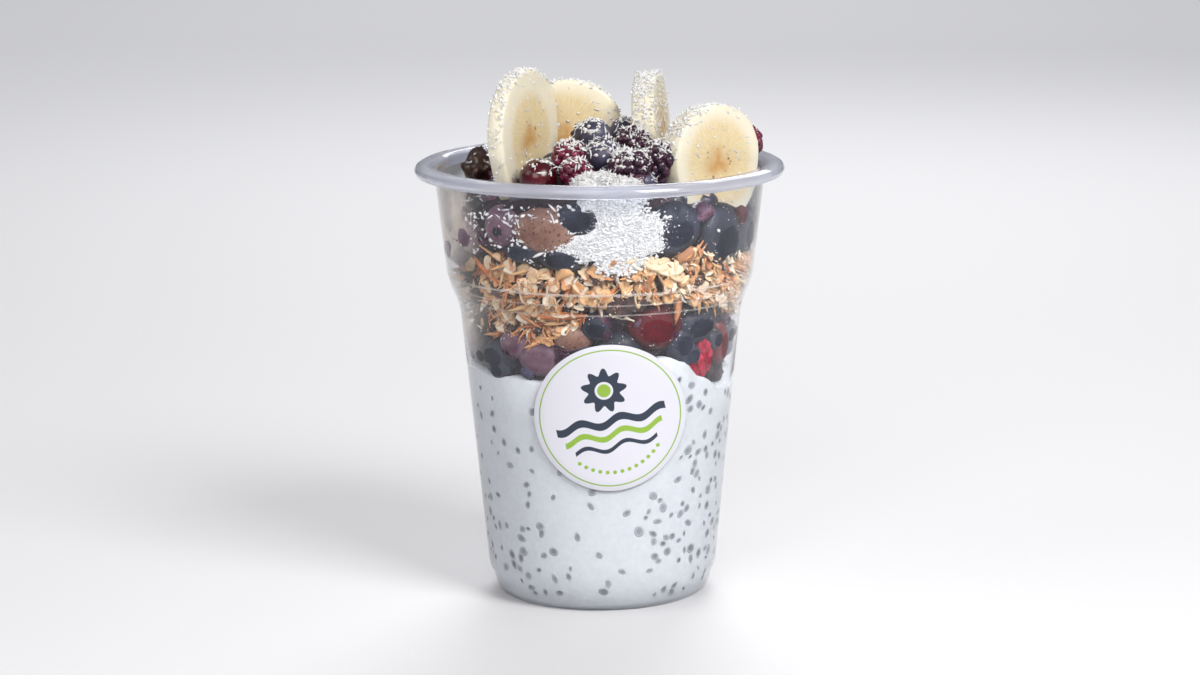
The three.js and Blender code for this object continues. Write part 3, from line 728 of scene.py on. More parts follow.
granola_base = uneven(GRANOLA_BASE, 75, 0.6)
draw = np.random.default_rng(21)
lower_fruit = [against_wall(*row, draw) for row in LOWER_FRONT]
lower_fruit += whole_behind(
    11, (5.6, 6.8), ["blueberry", "blueberry", "bramble", "cherry", "raspberry"],
    lambda b: (yogurt_top(b) + granola_base(b)) / 2, 0.8, draw,
)
lower_fruit += scraps_round(
    (1.8, 3.4), ["broken", "slate", "slate", "bramble", "blueberry"],
    lambda b: (yogurt_top(b) + 1.5, granola_base(b) - 1.5), draw, 3,
)
juice = mottled("berry_juice", ((30, 20, 32), (52, 34, 48), (20, 8, 18)), (160, 900), 0.4, 0.1, 0.4, PRESSED)
lower_core = layer_body(yogurt_top, granola_base, 2.6, 2.2, 2)
new_piece("lower_fruit_juice", lower_core, [juice], "dark_fruit", ["lower_fruit"])
fruit_group("lower_fruit", lower_fruit, PRESSED_PAINTS)

# The granola is a loose layer of toasted oats in clusters, with bran strips, nuts, flat seeds, slivers of
# coconut and dark dried fruit. The pieces lean on the wall at every angle, with crumbs between them; the
# crumb core behind them is coloured near-black brown, painted shade for the dark gaps between the pieces.
GRANOLA_TOP = [
    (-180, 91), (-120, 88), (-80, 89), (-50, 93), (-15, 91), (25, 94.5), (57, 94), (90, 90), (135, 93),
]
# Each row: kind, x and height on the wall in mm, half length, turn in the wall's plane, tilt out of it.
GRANOLA_FRONT = [
    ("bran", -26.3, 90.8, 6.5, -42, 5), ("bran", -28.6, 88.5, 5.5, -38, 8),
    ("dark_bits", -27.1, 84.8, 3.9, 60, 0), ("oats", -17.5, 85.3, 2.3, 10, 12),
    ("oats", -13.0, 82.6, 1.9, 50, 8), ("oats", -8.7, 86.8, 1.6, 0, 20),
    ("nuts", -14.2, 88.5, 2.0, 20, 0), ("nuts", -8.9, 89.5, 2.6, 80, 0),
    ("bran", -23.5, 84.1, 4.4, 75, 0), ("bran", -18.1, 77.1, 4.0, -35, 10),
    ("slivers", -2.3, 81.1, 4.8, 84, 5), ("slivers", -0.2, 82.1, 4.0, 97, 15),
    ("slivers", -7.4, 75.3, 4.0, 15, 20), ("bran", -11.0, 78.4, 7.4, 2, 4),
    ("bran", -15.9, 71.0, 4.0, 24, 12), ("bran", -11.5, 70.4, 3.4, -20, 12),
    ("oats", -33.4, 89.2, 2.4, 70, 30), ("oats", -35.2, 82.0, 2.2, 20, 30),
    ("oats", 28.3, 92.5, 2.6, 35, 15), ("oats", 26.6, 90.4, 2.5, -35, 25),
    ("oats", 29.6, 90.0, 2.2, 70, 25), ("oats", 25.2, 93.4, 2.0, 0, 35), ("nuts", 22.3, 92.7, 3.2, 65, 0),
    ("seeds", 13.2, 91.8, 3.3, 70, 10), ("seeds", 16.8, 90.2, 3.4, 82, 6),
    ("seeds", 18.6, 88.6, 2.8, 62, 14), ("oats", 22.6, 85.6, 2.9, 12, 35),
    ("oats", 23.6, 81.2, 1.8, 40, 10), ("bran", 20.2, 82.4, 7.0, 86, 3),
    ("dark_bits", 4.6, 81.6, 3.2, 85, 0), ("dark_bits", 8.6, 82.6, 3.2, 95, 0),
    ("slivers", 6.8, 79.8, 4.4, 20, 8), ("slivers", 5.0, 78.2, 3.4, -18, 8),
    ("nuts", 0.6, 76.1, 3.0, 75, 0), ("oats", 38.2, 95.6, 3.2, 10, 30), ("oats", 36.6, 87.2, 3.4, 60, 25),
    ("oats", 33.4, 83.4, 2.8, 100, 15), ("slivers", -22.0, 79.0, 4.2, -60, 10),
    ("oats", -24.6, 74.4, 2.6, 30, 15),
]
# How many more of each kind are scattered round the wall, and their least and greatest half length.
GRANOLA_SCATTER = {
    "oats": (700, 1.0, 2.3), "bran": (520, 1.6, 4.4), "nuts": (120, 0.8, 1.7), "seeds": (110, 1.1, 2.3),
    "dark_bits": (34, 1.0, 2.0), "slivers": (300, 1.1, 2.8),
}
# Between these bearings the granola is sparser; between the others a tuft of bran strips is added.
SPARSE_FROM, SPARSE_TO, SPARSE_SHARE = -104, -52, 0.8
TUFT_STRIPS, TUFT_FROM, TUFT_TO = 130, -54, -16


def oat_flake(seed):
    """A rolled oat: a thin ragged oval, cupped and creased down its middle."""
    drawn = np.random.default_rng(seed)
    lobes = drawn.uniform(0.04, 0.12, 4)
    turns = drawn.uniform(0, 2 * pi, 4)
    faces = [(0.0, -0.12), (0.8, -0.09), (1.0, 0.0), (0.86, 0.09), (0.5, 0.13), (0.0, 0.12)]

    def outline(bearing):
        edge = 1 + sum(a * cos((k + 2) * radians(bearing) + t) for k, (a, t) in enumerate(zip(lobes, turns)))
        return [(r * edge, z) for r, z in faces]

    points, quads, tris = turned(outline, 14)
    x, y, z = points.T
    crease = 0.14 * np.exp(-((x / 0.12) ** 2)) * (1 - y * y)
    return np.column_stack([x * 0.82, y, z + 0.22 * x * x - crease + 0.1 * np.sin(3 * y + seed)]), quads, tris


def strip(width, thick, curl, twist, steps=9):
    """A thin curved strip 2 long that narrows to its ends, lying along X."""
    rings = []
    for t in np.linspace(-1, 1, steps):
        half = max(0.12, (1 - abs(t) ** 3)) * width / 2
        angle = twist * t
        middle = np.array([t, 0, curl * 2 * (t * t - 0.3)])
        side = np.array([0, cos(angle), sin(angle)]) * half
        up = np.array([0, -sin(angle), cos(angle)]) * thick / 2
        rings.append([middle + side, middle + up, middle - side, middle - up])
    points = np.array(rings).reshape(-1, 3)
    quads = [
        (4 * k + c, 4 * k + (c + 1) % 4, 4 * k + 4 + (c + 1) % 4, 4 * k + 4 + c)
        for k in range(steps - 1) for c in range(4)
    ]
    last = 4 * (steps - 1)
    ends = [(3, 2, 1, 0), (last, last + 1, last + 2, last + 3)]
    return points, np.array(quads + ends), np.zeros((0, 3), int)


def nut_chunk(seed):
    """A broken nut: one side round with its skin, the others flat where it snapped."""
    points, quads, tris = roughened(ball(14, 10), 0.8, 0.4, seed)
    drawn = np.random.default_rng(seed)
    for _ in range(4):
        normal = drawn.normal(size=3)
        normal /= np.linalg.norm(normal)
        beyond = np.maximum(0, points @ normal - drawn.uniform(0.3, 0.6))
        points = points - beyond[:, None] * normal
    return points, quads, tris


def flat_seed():
    """A pumpkin seed: a flat drop with a raised rim."""
    faces = [(0, -0.16), (0.8, -0.2), (0.95, -0.12), (1, 0), (0.95, 0.12), (0.8, 0.2), (0.6, 0.16), (0, 0.16)]

    def outline(bearing):
        drop = 1 + 0.35 * max(0.0, cos(radians(bearing))) ** 3
        return [(r * drop, z) for r, z in faces]

    return moved(turned(outline, 20), stretched(0.55, 1, 0.8))


def toasted(name, tones, roughness, depth):
    """A dry toasted material whose tone differs from piece to piece, through the colours named."""
    made, tree, shader = new_material(name, {
        "Roughness": roughness, "Subsurface Weight": 0.06, "Subsurface Scale": 0.001,
    })
    tone = tone_by_piece(tree, list(zip(np.linspace(0, 1, len(tones)), tones)))
    grain = cloudy(tree, 900.0, 4.0, Roughness=0.7)
    browned = ranged(cloudy(tree, 320.0, 2.0), 0.5, 0.75, 0.0, 0.55)
    darker = mixed(tree, browned, tone, linear(134, 84, 50))
    floury = mixed(tree, ranged(grain, 0.58, 0.7, 0.0, 0.5), darker, linear(244, 226, 194))
    tree.links.new(floury, shader.inputs["Base Color"])
    bumped(tree, shader, grain, depth, 0.0004)
    return made


def leaning(shape, bearing, film):
    """The shape moved in from the wall until it only just presses on it."""
    points, quads, tris = shape
    beyond = np.hypot(points[:, 0], points[:, 1]) - inside_radius(points[:, 2])
    back_in = max(0.0, float(beyond.max()) - WETTING)
    inwards = np.array((-sin(radians(bearing)), cos(radians(bearing)), 0)) * back_in
    return inside_wall((points + inwards, quads, tris), film)


granola_top = uneven(GRANOLA_TOP, 93, 0.7)
oat_tones = [(238, 206, 162), (218, 158, 102), (251, 236, 214), (228, 184, 132), (200, 130, 76)]
bran_tones = [(226, 146, 78), (200, 108, 50), (240, 190, 132), (160, 78, 38)]
nut_tones = [(222, 172, 120), (150, 92, 58), (244, 214, 170), (190, 132, 84)]
seed_tones = [(236, 220, 188), (212, 186, 146), (244, 236, 216)]
sliver_tones = [(248, 240, 224), (238, 218, 188), (252, 248, 240)]
dark_skin = ((52, 26, 24), (84, 44, 36), (30, 14, 16)), (300, 1500), 0.4, 0.5, 0.5
dark_gloss = {"Roughness": 0.3, "Coat Weight": 0.4, "Coat Roughness": 0.2}
GRANOLA_KINDS = {
    "oats": ([oat_flake(seed) for seed in (1, 2, 3, 4, 5)], toasted("toasted_oats", oat_tones, 0.7, 0.5)),
    "bran": (
        [strip(0.24, 0.14, 0.12, 0.4), strip(0.18, 0.1, 0.22, 1.0), strip(0.3, 0.12, -0.1, 0.7)],
        toasted("bran_strips", bran_tones, 0.65, 0.4),
    ),
    "nuts": ([nut_chunk(seed) for seed in (1, 2, 3, 4)], toasted("broken_nuts", nut_tones, 0.5, 0.35)),
    "seeds": ([flat_seed()], toasted("flat_seeds", seed_tones, 0.5, 0.15)),
    "dark_bits": ([shrunken(11, 20), shrunken(13, 20)], mottled("dark_dried_fruit", *dark_skin, dark_gloss)),
    "slivers": (
        [strip(0.42, 0.14, 0.3, 1.2), strip(0.34, 0.12, 0.15, 0.5)],
        toasted("toasted_slivers", sliver_tones, 0.55, 0.2),
    ),
}
draw = np.random.default_rng(31)
granola = {kind: [] for kind in GRANOLA_KINDS}


def granola_bit(kind, bearing, height, size, turn_of, tilt, inwards):
    """A piece of granola lying against the wall, turned in the wall's plane and tilted out of it."""
    forms = GRANOLA_KINDS[kind][0]
    form = forms[draw.integers(len(forms))]
    lumpy = kind in ("nuts", "dark_bits")
    flat = Matrix() if lumpy else Matrix.Rotation(pi / 2, 4, "X")
    lean = Matrix.Rotation(radians(tilt), 4, "Z")
    lean = lean @ Matrix.Rotation(radians(draw.uniform(-tilt, tilt)), 4, "X")
    matrix = at_wall(bearing, height, inwards) @ Matrix.Rotation(radians(-turn_of), 4, "Y") @ lean @ flat
    bit = moved(form, matrix @ stretched(size, size * (0.8 if lumpy else 1), size))
    granola[kind].append(leaning(bit, bearing, draw.uniform(0.02, 0.09)))


for kind, x, height, size, turn_of, tilt in GRANOLA_FRONT:
    across = np.clip(x / (inside_radius(height) - 0.3), -0.999, 0.999)
    granola_bit(kind, float(np.degrees(np.arcsin(across))), height, size, turn_of, tilt, 0.25)
for kind, (count, least, most) in GRANOLA_SCATTER.items():
    for _ in range(count):
        bearing = draw.uniform(-180, 180)
        if SPARSE_FROM < bearing < SPARSE_TO and draw.random() < SPARSE_SHARE:
            continue
        low, high = granola_base(bearing) + 0.8, granola_top(bearing) - 0.8
        depth = draw.uniform(0.2, 2.6)
        height, size = draw.uniform(low, high), draw.uniform(least, most)
        granola_bit(kind, bearing, height, size, draw.uniform(0, 180), draw.uniform(0, 65), depth)
for _ in range(TUFT_STRIPS):
    bearing = draw.uniform(TUFT_FROM, TUFT_TO)
    height = draw.uniform(granola_base(bearing) + 1, granola_top(bearing) - 1)
    size, turn_of = draw.uniform(1.6, 4.2), draw.uniform(0, 180)
    granola_bit("bran", bearing, height, size, turn_of, 25, draw.uniform(0.2, 1.0))
# Painted shade: the crumb core is coloured near-black brown so that the gaps between the pieces look dark.
shaded_crumb_paint = toasted("granola_crumb_painted_shade", [(58, 34, 26), (78, 48, 34)], 0.8, 0.9)
shaded_crumb_core = layer_body(granola_base, granola_top, 3.4, 3.0, 5, 180, 22)
new_piece("granola_crumbs_painted_shade", shaded_crumb_core, [shaded_crumb_paint], "granola", ["granola"])
for kind, (_, paint) in GRANOLA_KINDS.items():
    new_piece(f"granola_{kind}", joined(granola[kind]), [paint], "granola")

# The upper fruit is a mound of whole berries that bears on the granola and rises over the rim in the middle.
# Along the wall they are pressed flat and dusted with bits of coconut.
MOUND_EDGE = [
    (-180, 104), (-150, 102), (-105, 97), (-75, 96), (-50, 104), (-25, 107), (0, 108), (18, 107), (32, 101.5),
    (48, 99.5), (75, 101), (105, 100), (150, 103),
]
MOUND_MIDDLE = 116
MOUND_BERRIES = 98
UPPER_FRONT = [
    ("violet", -75, 92, (5.6, 5, 4.4)), ("violet", -58, 96.5, (5.0, 4.5, 4.8)),
    ("violet", -39, 100.6, (5.4, 4, 5.8)), ("brown", -20, 100.2, (9.4, 5, 6.8)),
    ("slate", -7.5, 103.4, (6.4, 4.4, 5.0)), ("slate", 29, 100.4, (7.4, 4.6, 7.2)),
    ("slate", 53, 96.5, (7.8, 4.4, 9.0)), ("slate", 70, 96, (5.0, 4.4, 6.6)),
    ("cherry", 63, 101, (2.0, 1.4, 2.8)), ("dried", 25.5, 99.4, (0.9, 0.7, 1.3)),
    ("slate", -14, 93.5, (6.6, 4, 3.6)), ("slate", -30, 94.5, (5.4, 4, 3.2)),
    ("broken", 41, 103.6, (3.6, 2.6, 3.6)),
]


def mound_edge(bearing):
    """Height of the mound at the wall."""
    return height_round(MOUND_EDGE, bearing)


def mound_top(bearing, radius=FULL_REACH):
    """The mound's surface, from the height at the wall up to its middle."""
    edge = mound_edge(bearing)
    bumps = 0.5 * sin(5 * radians(bearing) + radius / 4)
    return edge + (MOUND_MIDDLE - edge) * max(0.0, 1 - (radius / 38) ** 3) + bumps - 0.6


draw = np.random.default_rng(41)
upper_fruit = [against_wall(*row, draw) for row in UPPER_FRONT]
upper_fruit += whole_behind(
    8, (5.2, 6.4), ["blueberry", "bramble", "blueberry", "cherry", "raspberry"],
    lambda b: granola_top(b) + 5, 0.9, draw,
)
upper_fruit += whole_behind(
    7, (4.6, 5.6), ["blueberry", "bramble", "blueberry"], lambda b: mound_edge(b) - 2.4, 0.9, draw,
)
upper_fruit += scraps_round(
    (1.6, 3.2), ["broken", "slate", "blueberry", "bramble"],
    lambda b: (granola_top(b) + 1.0, mound_edge(b) - 2.6), draw, 2,
    lambda b: 62 < (b + 36) % 360 and not 20 < b < 80,
)
mound = []
for i in range(MOUND_BERRIES):
    bearing, radius = i * 137.5 + draw.uniform(-6, 6), 34 * ((i + 0.5) / MOUND_BERRIES) ** 0.5
    size = draw.uniform(2.9, 4.0)
    height = mound_top(bearing, radius) - size * 0.35
    kind = draw.choice(["blueberry", "blueberry", "broken", "slate", "bramble", "broken"])
    place = Matrix.Translation((radius * sin(radians(bearing)), -radius * cos(radians(bearing)), height))
    mound.append((kind, place @ stretched(size, size, size * 0.85), 0))
upper_core = layer_body(granola_top, mound_top, 3.0, 2.2, 8, 144, 18)
new_piece("upper_fruit_juice", upper_core, [juice], "dark_fruit", ["upper_fruit"])
fruit_group("upper_fruit", upper_fruit, PRESSED_PAINTS)
mound_shapes = fruit_group("mound", mound, FRUIT_PAINTS)

# Shredded coconut lies in a heap at the front, sunk between the berries, leaning on the wall and spilling
# down it. It is a ragged pile of soft white strips and crumbs.
SPILL_LUMPS = [
    (5, 99.5, 3.0, (11.5, 4, 6.5)), (-9, 96.5, 2.4, (6.5, 3.4, 4.4)), (16, 99.5, 2.8, (7.5, 4, 5.5)),
    (3, 105.5, 3.8, (8.0, 5, 5.5)), (-1, 110.5, 7.0, (6.4, 5, 3.8)), (7, 92.8, 2.4, (6.0, 3.2, 3.8)),
    (9, 109.5, 6.2, (5.6, 5, 3.4)),
]
LUMP_SHARE = 0.94
FREE_OF_WALL = 104
# Fine bits end at the first height, and left of the bearing at the second, where fruit shows beside the heap.
FINE_TOP, FINE_LEFT, FINE_LEFT_TOP = 109, -1, 98.5
# How many strips, loose bits on top and fine bits a lump gets, for each square millimetre of its half sizes.
STRIP_SHARE, TOP_SHARE, FINE_SHARE = 2.8, 19, 17
# Each strip's width, thickness, curl and twist.
SHREDS = [strip(*form, 7) for form in (
    (0.3, 0.12, 0.12, 0.5), (0.24, 0.1, 0.22, 1.1), (0.36, 0.12, 0.06, 0.8), (0.28, 0.12, -0.18, 1.5),
)]
FINE_SHREDS = [strip(*form, 4) for form in (
    (0.42, 0.14, 0.1, 0.4), (0.34, 0.14, 0.2, 1.0), (0.5, 0.14, -0.1, 0.7),
)]
CRUMBS = [roughened(moved(ball(6, 4), stretched(1, 0.65, 0.4)), 0.45, 0.9, seed) for seed in (3, 6, 8, 9)]
draw = np.random.default_rng(51)
coconut, nodes, shader = new_material("shredded_coconut", {
    "Roughness": 0.5, "Subsurface Weight": 0.12, "Subsurface Radius": (1.0, 1.0, 1.0),
    "Subsurface Scale": 0.0006,
})
island = add(nodes, "NewGeometry").outputs["Random Per Island"]
white = mixed(nodes, island, linear(229, 230, 233), linear(250, 250, 249))
nodes.links.new(white, shader.inputs["Base Color"])
bumped(nodes, shader, cloudy(nodes, 1400.0, 3.0), 0.35, 0.0003)


def coconut_bit(drawn, matrix, strips, sizes, crumb_sizes):
    """A strip or a crumb of coconut at a place: strips is the share of strips."""
    if drawn.random() < strips:
        form, size = FINE_SHREDS[drawn.integers(3)], drawn.uniform(*sizes)
    else:
        form, size = CRUMBS[drawn.integers(4)], drawn.uniform(*crumb_sizes)
    return moved(form, matrix @ any_turn(drawn) @ Matrix.Scale(size, 4))


lumps, shreds, fine_bits = [], [], []
for bearing, height, depth, (across, deep, up) in SPILL_LUMPS:
    at, over_rim, spread_over = at_wall(bearing, height, depth), height > FREE_OF_WALL, across * up
    lump = roughened(ball(30, 22), 0.35, 0.22, bearing + 20)
    sunk = at @ stretched(across * LUMP_SHARE, deep * LUMP_SHARE, up * LUMP_SHARE)
    lumps.append(inside_wall(moved(lump, sunk), -0.5))
    for _ in range(int(spread_over * STRIP_SHARE)):
        out = any_direction(draw)
        out.y = out.y if over_rim else -abs(out.y)
        spot = at @ Vector((out.x * across * 0.97, out.y * deep * 0.97, out.z * up * 0.97))
        along = Matrix.Translation(spot) @ any_turn(draw)
        half = draw.uniform(0.6, 1.3)
        shred = moved(SHREDS[draw.integers(4)], along @ Matrix.Scale(half, 4))
        shreds.append(leaning(shred, bearing, draw.uniform(0.02, 0.09)))
    for _ in range(int(spread_over * TOP_SHARE) if over_rim else 0):
        out = any_direction(draw)
        spot = Matrix.Translation(at @ Vector((out.x * across, out.y * deep, abs(out.z) * up)))
        shreds.append(leaning(coconut_bit(draw, spot, 0.6, (0.6, 1.5), (0.4, 0.8)), bearing, 0.02))
    for _ in range(int(spread_over * FINE_SHARE)):
        angle, out = draw.uniform(0, 2 * pi), draw.uniform(0, 1) ** 0.5 * draw.choice([0.95, 1.0, 1.16])
        x, z = across * out * cos(angle), height + up * out * sin(angle)
        at_bearing = bearing + x / FULL_REACH * 180 / pi
        if z < FINE_TOP and (at_bearing > FINE_LEFT or z < FINE_LEFT_TOP):
            spot = at_wall(at_bearing, z, draw.uniform(0.1, 0.6))
            bit = coconut_bit(draw, spot, 0.4, (0.35, 0.95), (0.3, 0.7))
            fine_bits.append(leaning(bit, at_bearing, draw.uniform(0.02, 0.1)))
new_piece("coconut_heap", joined(lumps), [coconut], "coconut", ["coconut_spill"])
new_piece("coconut_heap_shreds", joined(shreds), [coconut], "coconut")
new_piece("coconut_heap_crumbs", joined(fine_bits), [coconut], "coconut")

# A thin film of yogurt and juice was left on the inside of the wall at both sides when the cup was filled.
# It is milky and see-through, and fades at its edges. Three thin rings of the same milky paint round the
# shoulder's folds are painted highlights, where the folds of the plastic catch the light.
# Each row: first and last bearing, lowest and highest point in mm, how much it hides where it is thickest.
FILM_AND_HIGHLIGHT_PATCHES = [
    (-116, -46, 86, 110.9, 0.8), (-112, -50, 62, 91, 0.45), (66, 120, 76, 110.9, 0.3),
    # The last three rows are thin rings of painted highlight along the shoulder's folds, not film.
    (-150, 150, 83.8, 84.6, 0.42), (-150, 150, 81.2, 81.7, 0.3), (-150, 150, 78.5, 79.1, 0.3),
]
FILM_THICK = 0.04
# The milky paint is film at the sides and painted highlight in the shoulder's rings.
film_and_highlight_paint, nodes, shader = new_material("milky_film_and_fold_highlights", {
    "Base Color": linear(234, 223, 212), "Roughness": 0.5,
})
smear = ranged(cloudy(nodes, 95.0, 3.0, Vector=own_place(nodes)), 0.36, 0.62, 0.3, 1.0)
nodes.links.new((film_on(nodes) * smear).socket, shader.inputs["Alpha"])


def film_patch(start, end, low, high, most):
    """A closed skin on the inside of the wall, with how thick it is at each point."""
    # A thin ring, a painted highlight along a fold of the shoulder, gets more points round and fewer up.
    around, up = (40, 24) if high - low > 1 else (96, 5)
    points, cover = [], []
    for inner in (0, FILM_THICK):
        for j in range(up):
            for i in range(around):
                across, rise = i / (around - 1), j / (up - 1)
                bearing, height = start + (end - start) * across, low + (high - low) * rise
                radius = inside_radius(height) + 0.02 - inner
                points.append((radius * sin(radians(bearing)), -radius * cos(radians(bearing)), height))
                above = 1.0 if high > 100 else 3 * (1 - rise)
                fade = min(1.0, 3 * across, 3 * (1 - across)) * min(1.0, 3 * rise, above)
                cover.append(most * fade * fade * (3 - 2 * fade))
    quads, back = [], around * up
    for j in range(up - 1):
        for i in range(around - 1):
            a = j * around + i
            face = (a, a + 1, a + 1 + around, a + around)
            quads += [face, tuple(back + p for p in face[::-1])]
    rim = [*range(around), *range(2 * around - 1, back, around), *range(back - 2, back - around - 1, -1)]
    rim += range(back - 2 * around, 0, -around)
    quads += [(b, a, a + back, b + back) for a, b in zip(rim, rim[1:] + rim[:1])]
    return (np.array(points), np.array(quads), np.zeros((0, 3), int)), cover


patches, covers = zip(*(film_patch(*row) for row in FILM_AND_HIGHLIGHT_PATCHES))
give_film(new_piece("milky_film_and_fold_highlights", joined(patches), [film_and_highlight_paint], "yogurt"), np.concatenate(covers))

# Banana slices stand in the heap: thin rounds cut across the fruit, pale flesh with a cream edge, a yellower
# middle in three parts with fine dark seeds, and a surface that has begun to soften.
# For each slice: the middle of its face, its radius and thickness, and how it is turned and leans back.
BANANAS = {
    "banana_left": ((-17.1, -15, 120.6), 17.2, 4.3, 66, 2),
    "banana_behind": ((-8.3, 2.6, 118.6), 14.5, 4.6, 6, 6),
    "banana_middle": ((16.5, 6, 120.4), 14.2, 6.0, 81, 5),
    "banana_right": ((30.2, -15.2, 113.9), 14.6, 6.8, 42, 3),
}
SLICE_EDGE = 1.1


def slice_lobe(angle):
    """How far out a slice reaches at a bearing in radians, round 1."""
    return 1 + 0.025 * cos(3 * angle) + 0.02 * cos(2 * angle + 1)


def banana_slice(radius, thick):
    """A round slice lying face up: lobed outline, eased edges, faces softly hollowed round the middle."""
    reach_of = np.linspace(0, radius - SLICE_EDGE, 12)
    half = thick / 2
    dip = [0.3 * np.exp(-((r / radius / 0.4) ** 2)) - half for r in reach_of]
    bend = [(cos(a), (half - SLICE_EDGE) * (1 if a > 0 else -1) + SLICE_EDGE * sin(a))
            for a in (-1.2, -0.8, -0.4, 0.4, 0.8, 1.2)]

    def outline(bearing):
        lobe = slice_lobe(radians(bearing))
        low = [(r * lobe, z) for r, z in zip(reach_of, dip)]
        edge = [((radius - SLICE_EDGE + SLICE_EDGE * out) * lobe, z) for out, z in bend]
        return [*low, *edge, *((r, -z) for r, z in low[::-1])]

    return roughened(turned(outline, 96), 4.0, 0.012, radius)


flesh, nodes, shader = new_material("banana_flesh", {
    "Roughness": 0.36, "Subsurface Weight": 0.3, "Subsurface Radius": (1.0, 0.8, 0.4),
    "Subsurface Scale": 0.003, "Coat Weight": 0.15,
})
place = own_place(nodes)
axes = add(nodes, "SeparateXYZ", {0: place}).outputs
x, y = Field(nodes, axes["X"]), Field(nodes, axes["Y"])
reach, angle = (x * x + y * y).of("SQRT"), x.of("ARCTAN2", y)
wander = cloudy(nodes, 230.0, 3.0, Vector=place)
star = (angle * 3.0).of("COSINE") * 0.001 + 0.0036
middle = reach - star + (wander * 0.008 - 0.004)
amber = ranged(middle, -0.005, 0.003, 1.0, 0.0, smooth=True)
rim = ranged(reach, 0.0088, 0.0128, smooth=True)
along = add(nodes, "CombineXYZ", {0: angle * 0.02, 1: reach * 0.45}).outputs[0]
rays = cloudy(nodes, 900.0, 2.0, Vector=along)
pale = mixed(nodes, ranged(rays, 0.3, 0.7), linear(224, 203, 154), linear(234, 218, 182))
creamy = mixed(nodes, rim, pale, linear(238, 231, 210))
warm = mixed(nodes, amber, creamy, linear(206, 156, 88))
cells = Field(nodes, add(nodes, "TexVoronoi", {"Vector": place, "Scale": 520.0}).outputs["Distance"])
seeds = ranged(abs(middle), 0.0016, 0.0004) * ranged(cells, 0.26, 0.16)
spotted = mixed(nodes, seeds * 0.75, warm, linear(110, 66, 30))
nodes.links.new(spotted, shader.inputs["Base Color"])
bumped(nodes, shader, rays + wander * 0.6, 0.25, 0.0004)
slices = {}
for name, (middle, radius, thick, turn_of, lean) in BANANAS.items():
    turn, tilt = radians(turn_of), radians(lean)
    facing = Vector((sin(turn) * cos(tilt), -cos(turn) * cos(tilt), sin(tilt)))
    matrix = Matrix.Translation(Vector(middle) - facing * thick / 2)
    matrix = matrix @ Matrix.Rotation(turn, 4, "Z") @ Matrix.Rotation(radians(90 - lean), 4, "X")
    slices[name] = (matrix, radius, thick)
    new_piece(f"{name}_slice", banana_slice(radius, thick), [flesh], "banana", [name], place=matrix)

# On top lie whole berries and a dried fig, each as it fell: glossy red cherries and raspberries, dark
# brambles and bloomy blueberries.
BERRIES = {
    "fig_left": ((-30.4, 3.4, 109.6), (4.4, 5.2, 5.2), "dried"),
    "cherry_front": ((-15.3, -28.0, 112.3), (4.8, 4.6, 4.4), "cherry"),
    "raspberry_front": ((-5.9, -28.6, 113.2), (4.6, 4.4, 4.2), "dusky"),
    "raspberry_middle": ((-7.4, -19.6, 116.2), (5.0, 5.0, 4.6), "dusky"),
    "blueberry_middle": ((1.0, -20.2, 116.6), (4.6, 4.4, 4.4), "blueberry"),
    "bramble_front": ((7.6, -26.0, 114.4), (6.0, 5.6, 5.0), "bramble"),
    "bramble_right": ((14.6, -20.6, 115.2), (5.4, 5.2, 5.4), "bramble"),
    "bramble_middle": ((8.6, -11.0, 118.0), (5.0, 4.8, 5.2), "bramble"),
    "blueberry_back": ((-1.6, -8.0, 119.4), (5.2, 4.8, 4.8), "blueberry"),
    "blueberry_top": ((6.6, 1.2, 119.2), (4.4, 4.2, 4.2), "blueberry"),
    "raspberry_right": ((37.8, 4.2, 116.2), (4.8, 4.8, 5.2), "dusky"),
    "cherry_right": ((30.2, 7.6, 112.2), (5.6, 5.4, 5.4), "cherry"),
    "blueberry_rear_left": ((-17.5, 16.0, 113.2), (5.6, 5.4, 5.2), "blueberry"),
    "bramble_rear": ((-3.0, 20.5, 113.8), (6.2, 5.8, 5.6), "bramble"),
    "cherry_rear": ((10.8, 19.2, 113.6), (5.6, 5.6, 5.2), "cherry"),
    "raspberry_rear": ((-11.5, 27.5, 109.6), (4.8, 5.0, 4.8), "raspberry"),
    "blueberry_rear": ((4.0, 30.5, 108.8), (5.0, 4.8, 4.8), "blueberry"),
    "blueberry_rear_right": ((22.5, 19.5, 111.0), (5.4, 5.2, 5.0), "blueberry"),
}
TOPPING_SLOTS = {
    "dried": "dried_fruit", "cherry": "red_fruit", "dusky": "red_fruit", "raspberry": "red_fruit",
    "blueberry": "dark_fruit", "bramble": "dark_fruit",
}
draw = np.random.default_rng(61)
toppings = []
for name, (middle, radii, kind) in BERRIES.items():
    turned_berry = moved(fruit_form(kind, draw), any_turn(draw))
    berry = moved(turned_berry, Matrix.Translation(middle) @ stretched(*radii))
    toppings.append(berry)
    new_piece(f"{name}_berry", berry, [FRUIT_PAINTS[kind]], TOPPING_SLOTS[kind], [name])

# Loose coconut: strips and crumbs that fell on the berries and the slices, and bits held between the fruit
# and the wall to the left of the heap.
FALLING_TRIES = 7600
WALL_BITS = 240
WALL_SPECKS = 560
HEAP_MIDDLE = (4, -22)
HEAP_SPREAD = 16
# How many bits of coconut lie on each slice's edge and on its face.
SLICE_COCONUT = {
    "banana_left": (330, 60), "banana_behind": (240, 60), "banana_middle": (620, 260),
    "banana_right": (130, 40),
}


def lying_bit(drawn, matrix, strips, sizes, crumb_sizes):
    """A strip or a crumb lying flat on a surface whose +Z points out of it."""
    flat = matrix @ Matrix.Rotation(drawn.uniform(0, 2 * pi), 4, "Z")
    flat = flat @ Matrix.Rotation(drawn.uniform(-0.35, 0.35), 4, "Y")
    if drawn.random() < strips:
        return moved(FINE_SHREDS[drawn.integers(3)], flat @ Matrix.Scale(drawn.uniform(*sizes), 4))
    return moved(CRUMBS[drawn.integers(4)], flat @ Matrix.Scale(drawn.uniform(*crumb_sizes), 4))


